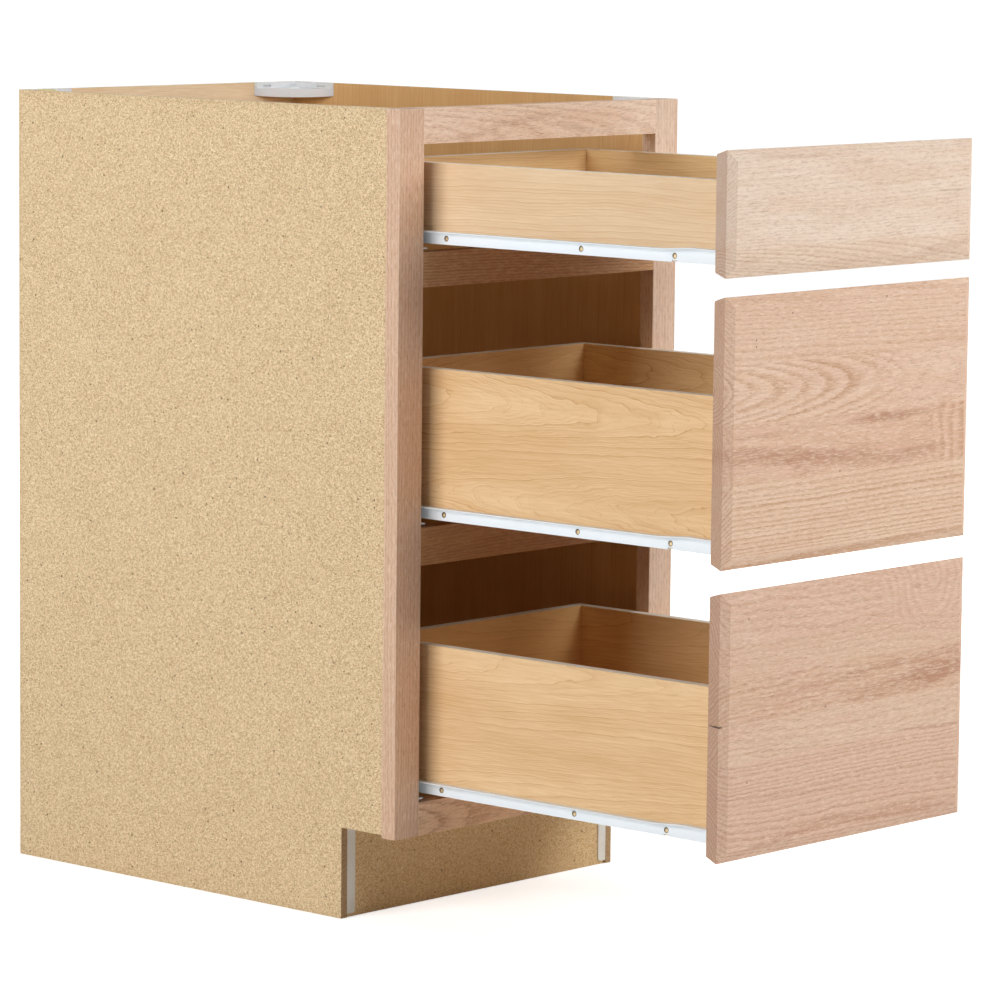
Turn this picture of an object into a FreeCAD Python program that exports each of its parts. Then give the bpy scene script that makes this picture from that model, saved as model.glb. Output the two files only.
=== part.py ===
"""Kitchen base cabinet with three drawers, millimetres.

A solid wood face frame closes the front of a particleboard box. Each drawer is a slab front on an open
box that runs on a pair of roller slides. All three drawers are drawn pulled out to their stops.

Origin: floor level, middle of the width, rear face. +X is to the right of a person who faces the cabinet,
+Y is towards the wall behind it and +Z is up.
"""
import FreeCAD, Part
import os
from math import sqrt

Vector = FreeCAD.Vector
INCH = 25.4

# Overall size
CABINET_WIDTH = 18.0 * INCH
CABINET_HEIGHT = 35.0 * INCH
CABINET_DEPTH = 23.75 * INCH

# Box panels
SIDE_THICKNESS = 0.375 * INCH
SIDE_SETBACK = 0.125 * INCH
BACK_THICKNESS = 0.25 * INCH
BACK_RABBET = 4.8
BOTTOM_THICKNESS = 0.5 * INCH
BOTTOM_DADO = 3.2
REAR_BOARD_THICKNESS = 0.5 * INCH

# Toe space under the front
TOE_HEIGHT = 4.0 * INCH
TOE_DEPTH = 3.25 * INCH
TOE_BOARD_THICKNESS = 0.375 * INCH
TOE_STRIP_WIDTH = 12.7
TOE_STRIP_THICKNESS = 1.6
TOE_STRIP_LIFT = 4.0
TOE_STRIP_ROUND = 4.0

# Face frame
FRAME_THICKNESS = 0.75 * INCH
FRAME_DROP = 2.5
STILE_WIDTH = 1.5 * INCH
TOP_RAIL = 1.5 * INCH
UPPER_RAIL = 1.5 * INCH
LOWER_RAIL = 41.3
BOTTOM_RAIL = 36.5
TOP_OPENING = 115.9

# Drawer fronts: a long bevel towards the back of every edge, a short one towards the face
FRONT_EDGE_DEPTH = 17.4
FRONT_FACE_RISE = 5.2
FRONT_FACE_BEVEL = 11.5
FRONT_REAR_BEVEL = 5.0
FRONT_SIDE_OVERLAY = 15.1
FRONT_DADO = 6.4

# Drawer boxes
BOX_BOARD = 0.5 * INCH
BOX_BOTTOM_THICKNESS = 3.2
BOX_BOTTOM_LIFT = 9.5
BOX_GROOVE = 6.4
BOX_LIFT = 10.0

# Roller slides
SLIDE_SPACE = 0.5 * INCH
SLIDE_SETBACK = 3.0
SLIDE_REAR_SPACE = 86.0
SLIDE_OVERLAP = 93.0
SHEET = 1.2
RUNNER_HEIGHT = 14.0
RUNNER_FOOT = 11.0
RUNNER_FLANGE = 9.5
RUNNER_HUMP = 2.6
RUNNER_HUMP_START = 83.0
RUNNER_HUMP_TOP = 44.0
RUNNER_NOSE_DROP = 0.8
RUNNER_FRONT_GAP = 1.0
RUNNER_FLANGE_CUT = 26.0
RUNNER_NOTCH_LENGTH = 7.0
RUNNER_NOTCH_HEIGHT = 2.2
RAIL_TIP_GAP = 2.8
RAIL_BELOW_RUNNER = 5.7
RAIL_HEAD_GAP = 0.8
RAIL_TOP_START = 48.0
ROLLING_GAP = 0.3
RAIL_ROLLER_RADIUS = 8.2
RAIL_ROLLER_FROM_FRONT = 27.0
RAIL_ROLLER_FACE = 3.2
RUNNER_ROLLER_RADIUS = 10.5
RUNNER_ROLLER_FROM_REAR = 12.0
RUNNER_ROLLER_FACE = 2.2
ROLLER_WIDTH = 7.0
ROLLER_DISH_DEPTH = 1.4
ROLLER_RIM = 2.0
ROLLER_HUB_RADIUS = 4.4
RIVET_RADIUS = 2.5
RIVET_RUNNING_FIT = 0.05
RIVET_HEAD_RADIUS = 3.8
RIVET_HEAD = 1.0
RIVET_HEAD_GAP = 0.2
STOP_LUG_HEIGHT = 3.5
STOP_LUG_LENGTH = 5.0
STOP_LUG_GAP = 0.3

# Screws of the slides: flush heads in clearance holes
SCREW_HEAD_RADIUS = 3.0
SCREW_HEAD_CLEARANCE = 0.2
SCREW_HEAD_RECESS = 0.2
SCREW_SHANK_RADIUS = 1.6
SCREW_LENGTH = 10.0
SCREW_SLOT = 1.0
SCREW_SLOT_DEPTH = 0.6
SCREW_RISE = 6.5
RUNNER_SCREW_FIRST = 72.0
RUNNER_SCREW_STEP = 128.0
RUNNER_SCREW_FROM_REAR = 116.0
RAIL_SCREW_FIRST = 8.0
RAIL_SCREW_MIDDLE = 200.0
RAIL_SCREW_FROM_REAR = 40.0

# Cleats that pack the slides out to the edge of the frame opening
CLEAT_HEIGHT = 1.75 * INCH
CLEAT_BELOW_RUNNER = 16.0

# Corner brackets
BRACKET_LEG = 67.0
BRACKET_WALL = 2.0
BRACKET_HEIGHT = 15.8
BRACKET_PLATE_DROP = 7.0
BRACKET_BOW = 1.6
BRACKET_POST = 6.8
BRACKET_HOLE_RADIUS = 2.75
BRACKET_HOLE_INSET = 22.0
BRACKET_BOSS_RADIUS = 6.0
BRACKET_BOSS_HEIGHT = 1.5
STAPLE_INSET = 47.5
STAPLE_DROP = 4.2
STAPLE_CROWN = 11.4
STAPLE_WIRE = 1.2
STAPLE_BITE = 2.4
STAPLE_RECESS_LENGTH = 13.0
STAPLE_RECESS_HEIGHT = 3.0
STAPLE_RECESS_DEPTH = 1.0

# Places that follow from the sizes
FRONT_Y = -CABINET_DEPTH
FRAME_BACK_Y = FRONT_Y + FRAME_THICKNESS
BACK_INNER_Y = -BACK_THICKNESS
TOE_Y = FRONT_Y + TOE_DEPTH
TOE_BOARD_Y = TOE_Y + TOE_STRIP_THICKNESS
SIDE_OUTER = CABINET_WIDTH / 2 - SIDE_SETBACK
SIDE_INNER = SIDE_OUTER - SIDE_THICKNESS
OPENING_HALF = CABINET_WIDTH / 2 - STILE_WIDTH
BOX_HALF = OPENING_HALF - SLIDE_SPACE
FRAME_BOTTOM = TOE_HEIGHT - FRAME_DROP
SLIDE_LENGTH = CABINET_DEPTH - BACK_THICKNESS - SLIDE_SETBACK - SLIDE_REAR_SPACE
TRAVEL = SLIDE_LENGTH - SLIDE_OVERLAP
DRAWER_Y = FRONT_Y - TRAVEL
DRAWER_REAR_Y = DRAWER_Y + SLIDE_LENGTH
RAIL_FRONT_Y = FRONT_Y + SLIDE_SETBACK
RAIL_REAR_Y = RAIL_FRONT_Y + SLIDE_LENGTH
RAIL_ROLLER_Y = RAIL_FRONT_Y + RAIL_ROLLER_FROM_FRONT
RUNNER_ROLLER_Y = DRAWER_REAR_Y - RUNNER_ROLLER_FROM_REAR

parts = {}


class Drawer:
    """The levels of one drawer, worked out from its opening in the face frame."""

    def __init__(self, name, opening_bottom, opening_top, overlay_above, overlay_below, headroom):
        self.name = name
        self.opening_bottom = opening_bottom
        self.front_bottom = opening_bottom - overlay_below
        self.front_top = opening_top + overlay_above
        self.box_bottom = opening_bottom + BOX_LIFT
        self.box_top = opening_top - headroom
        self.runner = self.box_bottom - SHEET
        self.floor_bottom = self.box_bottom + BOX_BOTTOM_LIFT
        self.floor_top = self.floor_bottom + BOX_BOTTOM_THICKNESS
        self.rail_floor = self.runner - RAIL_BELOW_RUNNER + SHEET
        self.rail_axis = self.runner + RUNNER_HEIGHT - SHEET - ROLLING_GAP - RAIL_ROLLER_RADIUS
        self.runner_axis = self.rail_floor + ROLLING_GAP + RUNNER_ROLLER_RADIUS


def frame_levels():
    """Heights of the rails and of the three openings: [(bottom, top), ...] of each, from the top down."""
    deep = CABINET_HEIGHT - FRAME_BOTTOM - TOP_RAIL - UPPER_RAIL - LOWER_RAIL - BOTTOM_RAIL - TOP_OPENING
    heights = [TOP_RAIL, TOP_OPENING, UPPER_RAIL, deep / 2, LOWER_RAIL, deep / 2, BOTTOM_RAIL]
    top = CABINET_HEIGHT
    bands = []
    for height in heights:
        bands.append((top - height, top))
        top -= height
    return bands[0::2], bands[1::2]


RAILS, OPENINGS = frame_levels()
DRAWERS = [
    Drawer("top", *OPENINGS[0], overlay_above=12.7, overlay_below=2.0, headroom=20.2),
    Drawer("middle", *OPENINGS[1], overlay_above=17.5, overlay_below=2.5, headroom=87.5),
    Drawer("bottom", *OPENINGS[2], overlay_above=15.5, overlay_below=5.0, headroom=87.5),
]


def block(x0, x1, y0, y1, z0, z1):
    """A rectangular block between two corners."""
    return Part.makeBox(x1 - x0, y1 - y0, z1 - z0, Vector(x0, y0, z0))


def prism(points, direction):
    """A flat outline swept along a straight line."""
    outline = Part.makePolygon([Vector(*p) for p in points + points[:1]])
    return Part.Face(outline).extrude(Vector(*direction))


def rod(radius, x0, x1, y, z):
    """A round bar along X."""
    return Part.makeCylinder(radius, x1 - x0, Vector(x0, y, z), Vector(1, 0, 0))


def joined(shapes):
    """Shapes that are one piece of material."""
    return shapes[0].fuse(shapes[1:]).removeSplitter() if len(shapes) > 1 else shapes[0]


def mirrored(shape):
    """The same shape on the other side of the cabinet."""
    return shape.mirror(Vector(0, 0, 0), Vector(1, 0, 0))


def both_sides(shapes):
    """The right-hand shapes and their left-hand twins."""
    return shapes + [mirrored(s) for s in shapes]


def add(name, *shapes):
    """Keep one named node, made of one or more separate solids."""
    solids = [solid for shape in shapes for solid in shape.Solids]
    parts[name] = solids[0] if len(solids) == 1 else Part.makeCompound(solids)


def carve(name, cutters):
    """Cut the holes and pockets that other pieces need out of a node."""
    shape = parts[name].cut(cutters)
    add(name, shape)


# Box and toe space


def side_panel():
    """Right side panel, with the toe notch, a rabbet for the back and a dado for the floor."""
    profile = [
        (SIDE_INNER, FRAME_BACK_Y, CABINET_HEIGHT),
        (SIDE_INNER, FRAME_BACK_Y, TOE_HEIGHT),
        (SIDE_INNER, TOE_Y, TOE_HEIGHT),
        (SIDE_INNER, TOE_Y, 0),
        (SIDE_INNER, 0, 0),
        (SIDE_INNER, 0, CABINET_HEIGHT),
    ]
    panel = prism(profile, (SIDE_THICKNESS, 0, 0))
    rabbet = block(SIDE_INNER, SIDE_INNER + BACK_RABBET, BACK_INNER_Y, 0, 0, CABINET_HEIGHT)
    dado = block(
        SIDE_INNER,
        SIDE_INNER + BOTTOM_DADO,
        FRAME_BACK_Y,
        BACK_INNER_Y,
        TOE_HEIGHT,
        TOE_HEIGHT + BOTTOM_THICKNESS,
    )
    return panel.cut([rabbet, dado])


def toe_strip():
    """Right plastic angle that joins the toe board to the side panel; its free lower corner is rounded."""
    inner = SIDE_INNER - TOE_STRIP_WIDTH
    face = block(inner, SIDE_INNER, TOE_Y, TOE_BOARD_Y, TOE_STRIP_LIFT, TOE_HEIGHT)
    corner = [
        e
        for e in face.Edges
        if all(abs(v.X - inner) < 1e-6 and abs(v.Z - TOE_STRIP_LIFT) < 1e-6 for v in e.Vertexes)
    ]
    face = face.makeFillet(TOE_STRIP_ROUND, corner)
    leg = block(
        SIDE_INNER - TOE_STRIP_THICKNESS,
        SIDE_INNER,
        TOE_BOARD_Y,
        TOE_BOARD_Y + TOE_BOARD_THICKNESS,
        TOE_STRIP_LIFT,
        TOE_HEIGHT,
    )
    return joined([face, leg])


def build_box():
    """The panels of the box and the boards that stand under its floor."""
    side = side_panel()
    add("side_panel_right", side)
    add("side_panel_left", mirrored(side))
    wide = SIDE_INNER + BACK_RABBET
    add("back_panel", block(-wide, wide, BACK_INNER_Y, 0, 0, CABINET_HEIGHT))
    wide = SIDE_INNER + BOTTOM_DADO
    floor_top = TOE_HEIGHT + BOTTOM_THICKNESS
    add("bottom_panel", block(-wide, wide, FRAME_BACK_Y, BACK_INNER_Y, TOE_HEIGHT, floor_top))
    rear_face = BACK_INNER_Y - REAR_BOARD_THICKNESS
    add("rear_support_board", block(-SIDE_INNER, SIDE_INNER, rear_face, BACK_INNER_Y, 0, TOE_HEIGHT))
    wide = SIDE_INNER - TOE_STRIP_THICKNESS
    toe_back = TOE_BOARD_Y + TOE_BOARD_THICKNESS
    add("toe_kick_board", block(-wide, wide, TOE_BOARD_Y, toe_back, 0, TOE_HEIGHT))
    add("toe_kick_strips", *both_sides([toe_strip()]))


# Face frame


def build_frame():
    """Two stiles with four rails butted between them."""
    stile = block(OPENING_HALF, CABINET_WIDTH / 2, FRONT_Y, FRAME_BACK_Y, FRAME_BOTTOM, CABINET_HEIGHT)
    add("frame_stile_right", stile)
    add("frame_stile_left", mirrored(stile))
    for name, (low, high) in zip(("top", "upper_middle", "lower_middle", "bottom"), RAILS):
        rail = block(-OPENING_HALF, OPENING_HALF, FRONT_Y, FRAME_BACK_Y, low, high)
        add(f"frame_rail_{name}", rail)


# Corner brackets


def bracket_wall():
    """The wall under the long edge of a bracket's plate, a little deeper in its middle."""
    reach = BRACKET_LEG / sqrt(2)
    top = -BRACKET_PLATE_DROP
    ends = -BRACKET_HEIGHT
    arc = Part.Arc(
        Vector(reach, 0, ends), Vector(0, 0, ends - BRACKET_BOW), Vector(-reach, 0, ends)
    ).toShape()
    rim = Part.makePolygon(
        [Vector(-reach, 0, ends), Vector(-reach, 0, top), Vector(reach, 0, top), Vector(reach, 0, ends)]
    )
    wall = Part.Face(Part.Wire(rim.Edges + [arc])).extrude(Vector(0, -BRACKET_WALL, 0))
    wall.rotate(Vector(0, 0, 0), Vector(0, 0, 1), -45)
    wall.translate(Vector(BRACKET_LEG / 2, BRACKET_LEG / 2, 0))
    return wall


def bracket():
    """A plastic corner bracket in its own frame: inner corner at the origin, legs along +X and +Y, top at Z 0."""
    leg, wall, low = BRACKET_LEG, BRACKET_WALL, -BRACKET_HEIGHT
    flanges = [block(0, leg, 0, wall, low, 0), block(0, wall, 0, leg, low, 0)]
    plate_bottom = -BRACKET_PLATE_DROP - wall
    plate = prism([(0, 0, plate_bottom), (leg, 0, plate_bottom), (0, leg, plate_bottom)], (0, 0, wall))
    post = prism([(0, 0, low), (BRACKET_POST, 0, low), (0, BRACKET_POST, low)], (0, 0, -low))
    post_top = post.copy()
    hole_at = Vector(BRACKET_HOLE_INSET, BRACKET_HOLE_INSET, plate_bottom)
    boss = Part.makeCylinder(BRACKET_BOSS_RADIUS, wall + BRACKET_BOSS_HEIGHT, hole_at)
    envelope = prism([(0, 0, 2 * low), (leg, 0, 2 * low), (0, leg, 2 * low)], (0, 0, -2 * low))
    body = joined(flanges + [plate, post_top, boss, bracket_wall()]).common(envelope)
    hole = Part.makeCylinder(BRACKET_HOLE_RADIUS, -low, Vector(hole_at.x, hole_at.y, low))
    half = STAPLE_RECESS_LENGTH / 2
    z0 = -STAPLE_DROP - STAPLE_RECESS_HEIGHT / 2
    z1 = z0 + STAPLE_RECESS_HEIGHT
    skin = wall - STAPLE_RECESS_DEPTH
    recess_x = block(STAPLE_INSET - half, STAPLE_INSET + half, skin, wall, z0, z1)
    recess_y = block(skin, wall, STAPLE_INSET - half, STAPLE_INSET + half, z0, z1)
    return body.cut([hole, recess_x, recess_y]).removeSplitter()


def staples():
    """The two staples of a bracket, in the bracket's own frame."""
    skin = BRACKET_WALL - STAPLE_RECESS_DEPTH
    half = STAPLE_CROWN / 2
    z0 = -STAPLE_DROP - STAPLE_WIRE / 2
    z1 = z0 + STAPLE_WIRE
    low, high = STAPLE_INSET - half, STAPLE_INSET + half
    crown = block(low, high, skin, skin + STAPLE_WIRE, z0, z1)
    legs = [
        block(low, low + STAPLE_WIRE, -STAPLE_BITE, skin, z0, z1),
        block(high - STAPLE_WIRE, high, -STAPLE_BITE, skin, z0, z1),
    ]
    first = joined([crown] + legs)
    second = first.mirror(Vector(0, 0, 0), Vector(1, -1, 0))
    return [first, second]


def build_brackets():
    """One bracket in each top corner of the box, stapled through both of its legs."""
    corners = [
        ("front_left", -SIDE_INNER, FRAME_BACK_Y, 0),
        ("front_right", SIDE_INNER, FRAME_BACK_Y, 90),
        ("rear_right", SIDE_INNER, BACK_INNER_Y, 180),
        ("rear_left", -SIDE_INNER, BACK_INNER_Y, 270),
    ]
    all_staples = []
    for name, x, y, turn in corners:
        shapes = [bracket()] + staples()
        for shape in shapes:
            shape.rotate(Vector(0, 0, 0), Vector(0, 0, 1), turn)
            shape.translate(Vector(x, y, CABINET_HEIGHT))
        add(f"corner_bracket_{name}", shapes[0].cut(shapes[1:]))
        all_staples += shapes[1:]
    add("bracket_staples", *all_staples)
    for board in ("side_panel_left", "side_panel_right", "back_panel", "frame_rail_top"):
        carve(board, all_staples)


# Slides


def screw(head_x, y, z):
    """A right-hand slide screw whose flush head faces the other member; its shank points along +X."""
    head_end = head_x + SHEET - SCREW_HEAD_RECESS
    solid = joined(
        [
            rod(SCREW_HEAD_RADIUS, head_x, head_end, y, z),
            rod(SCREW_SHANK_RADIUS, head_x, head_x + SCREW_LENGTH, y, z),
        ]
    )
    arm, half = SCREW_HEAD_RADIUS * 0.62, SCREW_SLOT / 2
    cross = [
        block(head_x, head_x + SCREW_SLOT_DEPTH, y - arm, y + arm, z - half, z + half),
        block(head_x, head_x + SCREW_SLOT_DEPTH, y - half, y + half, z - arm, z + arm),
    ]
    return solid.cut(cross)


def screw_towards_drawer(head_x, y, z):
    """The same screw turned round, so that its shank points along -X, into the drawer side."""
    turned = screw(0, 0, 0)
    turned.rotate(Vector(0, 0, 0), Vector(0, 0, 1), 180)
    turned.translate(Vector(head_x, y, z))
    return turned


def head_hole(x0, y, z):
    """Clearance hole for a screw head through a slide member."""
    return rod(SCREW_HEAD_RADIUS + SCREW_HEAD_CLEARANCE, x0, x0 + SHEET, y, z)


def rivet(web_x0, web_x1, head_x0, head_x1, y, z):
    """A roller's rivet: its shank is set in the member's web and its head keeps the roller on."""
    ends = sorted((web_x0, web_x1, head_x0, head_x1))
    shank = rod(RIVET_RADIUS, ends[0], ends[-1], y, z)
    head = rod(RIVET_HEAD_RADIUS, head_x0, head_x1, y, z)
    return joined([shank, head])


def roller(radius, x0, y, z):
    """A nylon roller on its rivet, dished on both faces between rim and hub."""
    wheel = rod(radius, x0, x0 + ROLLER_WIDTH, y, z)
    edges = [e for e in wheel.Edges if len(e.Vertexes) == 1]
    wheel = wheel.makeFillet(0.5, edges)
    bore = rod(RIVET_RADIUS + RIVET_RUNNING_FIT, x0, x0 + ROLLER_WIDTH, y, z)
    rings = []
    for start in (x0, x0 + ROLLER_WIDTH - ROLLER_DISH_DEPTH):
        ring = rod(radius - ROLLER_RIM, start, start + ROLLER_DISH_DEPTH, y, z)
        hub = rod(ROLLER_HUB_RADIUS, start, start + ROLLER_DISH_DEPTH, y, z)
        rings.append(ring.cut(hub))
    return wheel.cut([bore] + rings)


def runner(drawer):
    """Right drawer member: a foot under the drawer side, a web beside it and a flange that the roller carries."""
    front, rear, base = DRAWER_Y + RUNNER_FRONT_GAP, DRAWER_REAR_Y, drawer.runner
    top = base + RUNNER_HEIGHT
    crest = [
        (front, top + RUNNER_HUMP - RUNNER_NOSE_DROP),
        (DRAWER_Y + RUNNER_HUMP_TOP, top + RUNNER_HUMP),
        (DRAWER_Y + RUNNER_HUMP_START, top),
        (rear - RUNNER_FLANGE_CUT, top),
    ]
    web_outline = [(BOX_HALF, y, z) for y, z in crest + [(rear, top), (rear, base), (front, base)]]
    web = prism(web_outline, (SHEET, 0, 0))
    under = [(y, z - SHEET) for y, z in reversed(crest)]
    flange = prism([(BOX_HALF, y, z) for y, z in crest + under], (RUNNER_FLANGE, 0, 0))
    foot = block(BOX_HALF - RUNNER_FOOT, BOX_HALF + SHEET, front, rear, base, base + SHEET)
    notch_y = DRAWER_Y + RUNNER_SCREW_FIRST
    half = RUNNER_NOTCH_LENGTH / 2
    notch = block(
        BOX_HALF - RUNNER_NOTCH_HEIGHT,
        BOX_HALF + SHEET,
        notch_y - half,
        notch_y + half,
        base,
        base + RUNNER_NOTCH_HEIGHT,
    )
    return joined([web, flange, foot]).cut(notch)


def runner_screw_places(drawer):
    """Y and Z of a drawer member's screws."""
    first = DRAWER_Y + RUNNER_SCREW_FIRST
    rows = [first, first + RUNNER_SCREW_STEP, DRAWER_REAR_Y - RUNNER_SCREW_FROM_REAR]
    return [(y, drawer.runner + SCREW_RISE) for y in rows]


def rail(drawer):
    """Right cabinet member: a channel open towards the drawer, with a lug that stops the drawer's roller."""
    outer = OPENING_HALF
    tip = BOX_HALF + RAIL_TIP_GAP
    floor = drawer.rail_floor
    roller_top = floor + ROLLING_GAP + 2 * RUNNER_ROLLER_RADIUS
    head = roller_top + RAIL_HEAD_GAP
    web = block(outer - SHEET, outer, RAIL_FRONT_Y, RAIL_REAR_Y, floor - SHEET, head + SHEET)
    bed = block(tip, outer, RAIL_FRONT_Y, RAIL_REAR_Y, floor - SHEET, floor)
    lip = block(tip, outer, RAIL_FRONT_Y + RAIL_TOP_START, RAIL_REAR_Y, head, head + SHEET)
    reach = RUNNER_ROLLER_RADIUS + STOP_LUG_GAP
    drop = RUNNER_ROLLER_RADIUS + ROLLING_GAP - STOP_LUG_HEIGHT
    lug_rear = RUNNER_ROLLER_Y - sqrt(reach**2 - drop**2)
    lug = block(tip, outer - SHEET, lug_rear - STOP_LUG_LENGTH, lug_rear, floor, floor + STOP_LUG_HEIGHT)
    return joined([web, bed, lip, lug])


def rail_screw_places(drawer):
    """Y and Z of a cabinet member's screws. The first goes into the edge of the stile."""
    rows = [
        RAIL_FRONT_Y + RAIL_SCREW_FIRST,
        RAIL_FRONT_Y + RAIL_SCREW_MIDDLE,
        RAIL_REAR_Y - RAIL_SCREW_FROM_REAR,
    ]
    return [(y, drawer.runner + SCREW_RISE) for y in rows]


def build_rails():
    """The fixed half of the slides: cleats, channels, their screws, rivets and front rollers."""
    cleats, screws, rivets = [], [], []
    rail_web = OPENING_HALF - SHEET
    for drawer in DRAWERS:
        low = drawer.runner - CLEAT_BELOW_RUNNER
        cleats.append(block(OPENING_HALF, SIDE_INNER, FRAME_BACK_Y, BACK_INNER_Y, low, low + CLEAT_HEIGHT))
        places = rail_screw_places(drawer)
        screws += [screw(rail_web, y, z) for y, z in places]
        face = BOX_HALF + RAIL_ROLLER_FACE
        pin = rivet(
            rail_web,
            OPENING_HALF,
            face - RIVET_HEAD_GAP - RIVET_HEAD,
            face - RIVET_HEAD_GAP,
            RAIL_ROLLER_Y,
            drawer.rail_axis,
        )
        rivets.append(pin)
        channel = rail(drawer).cut([head_hole(rail_web, y, z) for y, z in places] + [pin])
        add(f"slide_rail_{drawer.name}_right", channel)
        add(f"slide_rail_{drawer.name}_left", mirrored(channel))
        wheel = roller(RAIL_ROLLER_RADIUS, face, RAIL_ROLLER_Y, drawer.rail_axis)
        add(f"rail_rollers_{drawer.name}", *both_sides([wheel]))
    screws = both_sides(screws)
    add("slide_cleats", *both_sides(cleats))
    add("slide_rail_screws", *screws)
    add("rail_roller_rivets", *both_sides(rivets))
    for board in ("slide_cleats", "frame_stile_left", "frame_stile_right"):
        carve(board, screws)


# Drawers


def drawer_front(drawer):
    """Slab front, bevelled on every edge, with grooves in its back for the box."""
    half = OPENING_HALF + FRONT_SIDE_OVERLAY
    low, high = drawer.front_bottom, drawer.front_top
    edge_y = DRAWER_Y - FRONT_EDGE_DEPTH
    face_y = edge_y - FRONT_FACE_RISE
    rear, face = FRONT_REAR_BEVEL, FRONT_FACE_BEVEL
    back_part = Part.makeWedge(
        -half, edge_y, low, low + rear, -half + rear, half, DRAWER_Y, high, high - rear, half - rear
    )
    wide = half - face
    front_part = Part.makeWedge(-half, 0, low, low + face, -wide, half, edge_y - face_y, high, high - face, wide)
    front_part.rotate(Vector(0, 0, 0), Vector(0, 0, 1), 180)
    front_part.translate(Vector(0, edge_y, 0))
    slab = joined([back_part, front_part])
    inside = BOX_HALF - BOX_BOARD
    bed = DRAWER_Y - FRONT_DADO
    side_grooves = both_sides([block(inside, BOX_HALF, bed, DRAWER_Y, drawer.box_bottom, drawer.box_top)])
    wide = inside + BOX_GROOVE
    floor_groove = block(-wide, wide, bed, DRAWER_Y, drawer.floor_bottom, drawer.floor_top)
    return slab.cut(side_grooves + [floor_groove])


def drawer_side(drawer):
    """Right side of a drawer box, grooved for the drawer floor."""
    inside = BOX_HALF - BOX_BOARD
    front = DRAWER_Y - FRONT_DADO
    board = block(inside, BOX_HALF, front, DRAWER_REAR_Y, drawer.box_bottom, drawer.box_top)
    groove = block(inside, inside + BOX_GROOVE, front, DRAWER_REAR_Y, drawer.floor_bottom, drawer.floor_top)
    return board.cut(groove)


def build_drawer(drawer):
    """One drawer with the moving half of its slides."""
    name = f"drawer_{drawer.name}"
    inside = BOX_HALF - BOX_BOARD
    wide = inside + BOX_GROOVE
    front = DRAWER_Y - FRONT_DADO
    places = runner_screw_places(drawer)
    web_face = BOX_HALF + SHEET
    screws = [screw_towards_drawer(web_face, y, z) for y, z in places]
    wheel_x = BOX_HALF + RUNNER_ROLLER_FACE
    head_x = wheel_x + ROLLER_WIDTH + RIVET_HEAD_GAP
    at = (RUNNER_ROLLER_Y, drawer.runner_axis)
    pin = rivet(BOX_HALF, web_face, head_x, head_x + RIVET_HEAD, *at)
    member = runner(drawer).cut([head_hole(BOX_HALF, y, z) for y, z in places] + [pin])
    side = drawer_side(drawer).cut(screws)
    add(f"{name}_front", drawer_front(drawer))
    add(f"{name}_side_right", side)
    add(f"{name}_side_left", mirrored(side))
    back_y = DRAWER_REAR_Y - BOX_BOARD
    add(f"{name}_back", block(-inside, inside, back_y, DRAWER_REAR_Y, drawer.floor_top, drawer.box_top))
    add(f"{name}_floor", block(-wide, wide, front, DRAWER_REAR_Y, drawer.floor_bottom, drawer.floor_top))
    add(f"{name}_runner_right", member)
    add(f"{name}_runner_left", mirrored(member))
    add(f"{name}_runner_screws", *both_sides(screws))
    add(f"{name}_roller_rivets", *both_sides([pin]))
    add(f"{name}_rollers", *both_sides([roller(RUNNER_ROLLER_RADIUS, wheel_x, *at)]))


build_box()
build_frame()
build_brackets()
build_rails()
for each in DRAWERS:
    build_drawer(each)

os.makedirs("parts", exist_ok=True)
for node, shape in parts.items():
    shape.exportStep(f"parts/{node}.step")
print(f"{len(parts)} nodes, travel {TRAVEL:.1f}, slide {SLIDE_LENGTH:.1f}")
for each in DRAWERS:
    print(f"{each.name}: box {each.box_bottom:.2f} to {each.box_top:.2f}, runner {each.runner:.2f}")
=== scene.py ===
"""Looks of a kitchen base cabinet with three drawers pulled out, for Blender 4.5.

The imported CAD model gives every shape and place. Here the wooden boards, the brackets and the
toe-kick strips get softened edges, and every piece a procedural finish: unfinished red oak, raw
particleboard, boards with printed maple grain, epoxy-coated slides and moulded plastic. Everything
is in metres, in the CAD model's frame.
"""

import logging
import math
from dataclasses import dataclass, field, replace
from enum import Enum
from typing import Any, Callable, Dict, List, Optional, Sequence, Tuple

import bpy
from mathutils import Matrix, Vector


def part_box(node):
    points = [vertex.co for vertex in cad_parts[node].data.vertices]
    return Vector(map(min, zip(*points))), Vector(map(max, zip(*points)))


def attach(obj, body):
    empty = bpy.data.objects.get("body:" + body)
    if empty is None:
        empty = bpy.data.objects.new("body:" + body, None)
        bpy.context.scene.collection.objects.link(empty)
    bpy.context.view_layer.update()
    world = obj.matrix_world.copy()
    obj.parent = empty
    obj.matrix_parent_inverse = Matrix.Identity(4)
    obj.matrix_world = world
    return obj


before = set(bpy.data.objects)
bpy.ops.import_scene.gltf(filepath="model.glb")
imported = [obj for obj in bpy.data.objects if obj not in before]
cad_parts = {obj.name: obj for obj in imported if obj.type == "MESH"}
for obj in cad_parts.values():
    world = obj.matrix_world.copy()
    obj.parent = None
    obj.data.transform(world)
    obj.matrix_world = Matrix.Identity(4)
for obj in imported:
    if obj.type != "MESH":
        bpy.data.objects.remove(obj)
LOG = logging.getLogger("base_cabinet")
Colour = Tuple[float, float, float]
Socket = bpy.types.NodeSocket
ZERO = (0.0, 0.0, 0.0)
BUMP_DEPTH = 0.0003


class Axis(Enum):
    """The direction that a board's grain runs in."""

    X = "x"
    Y = "y"
    Z = "z"


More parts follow.
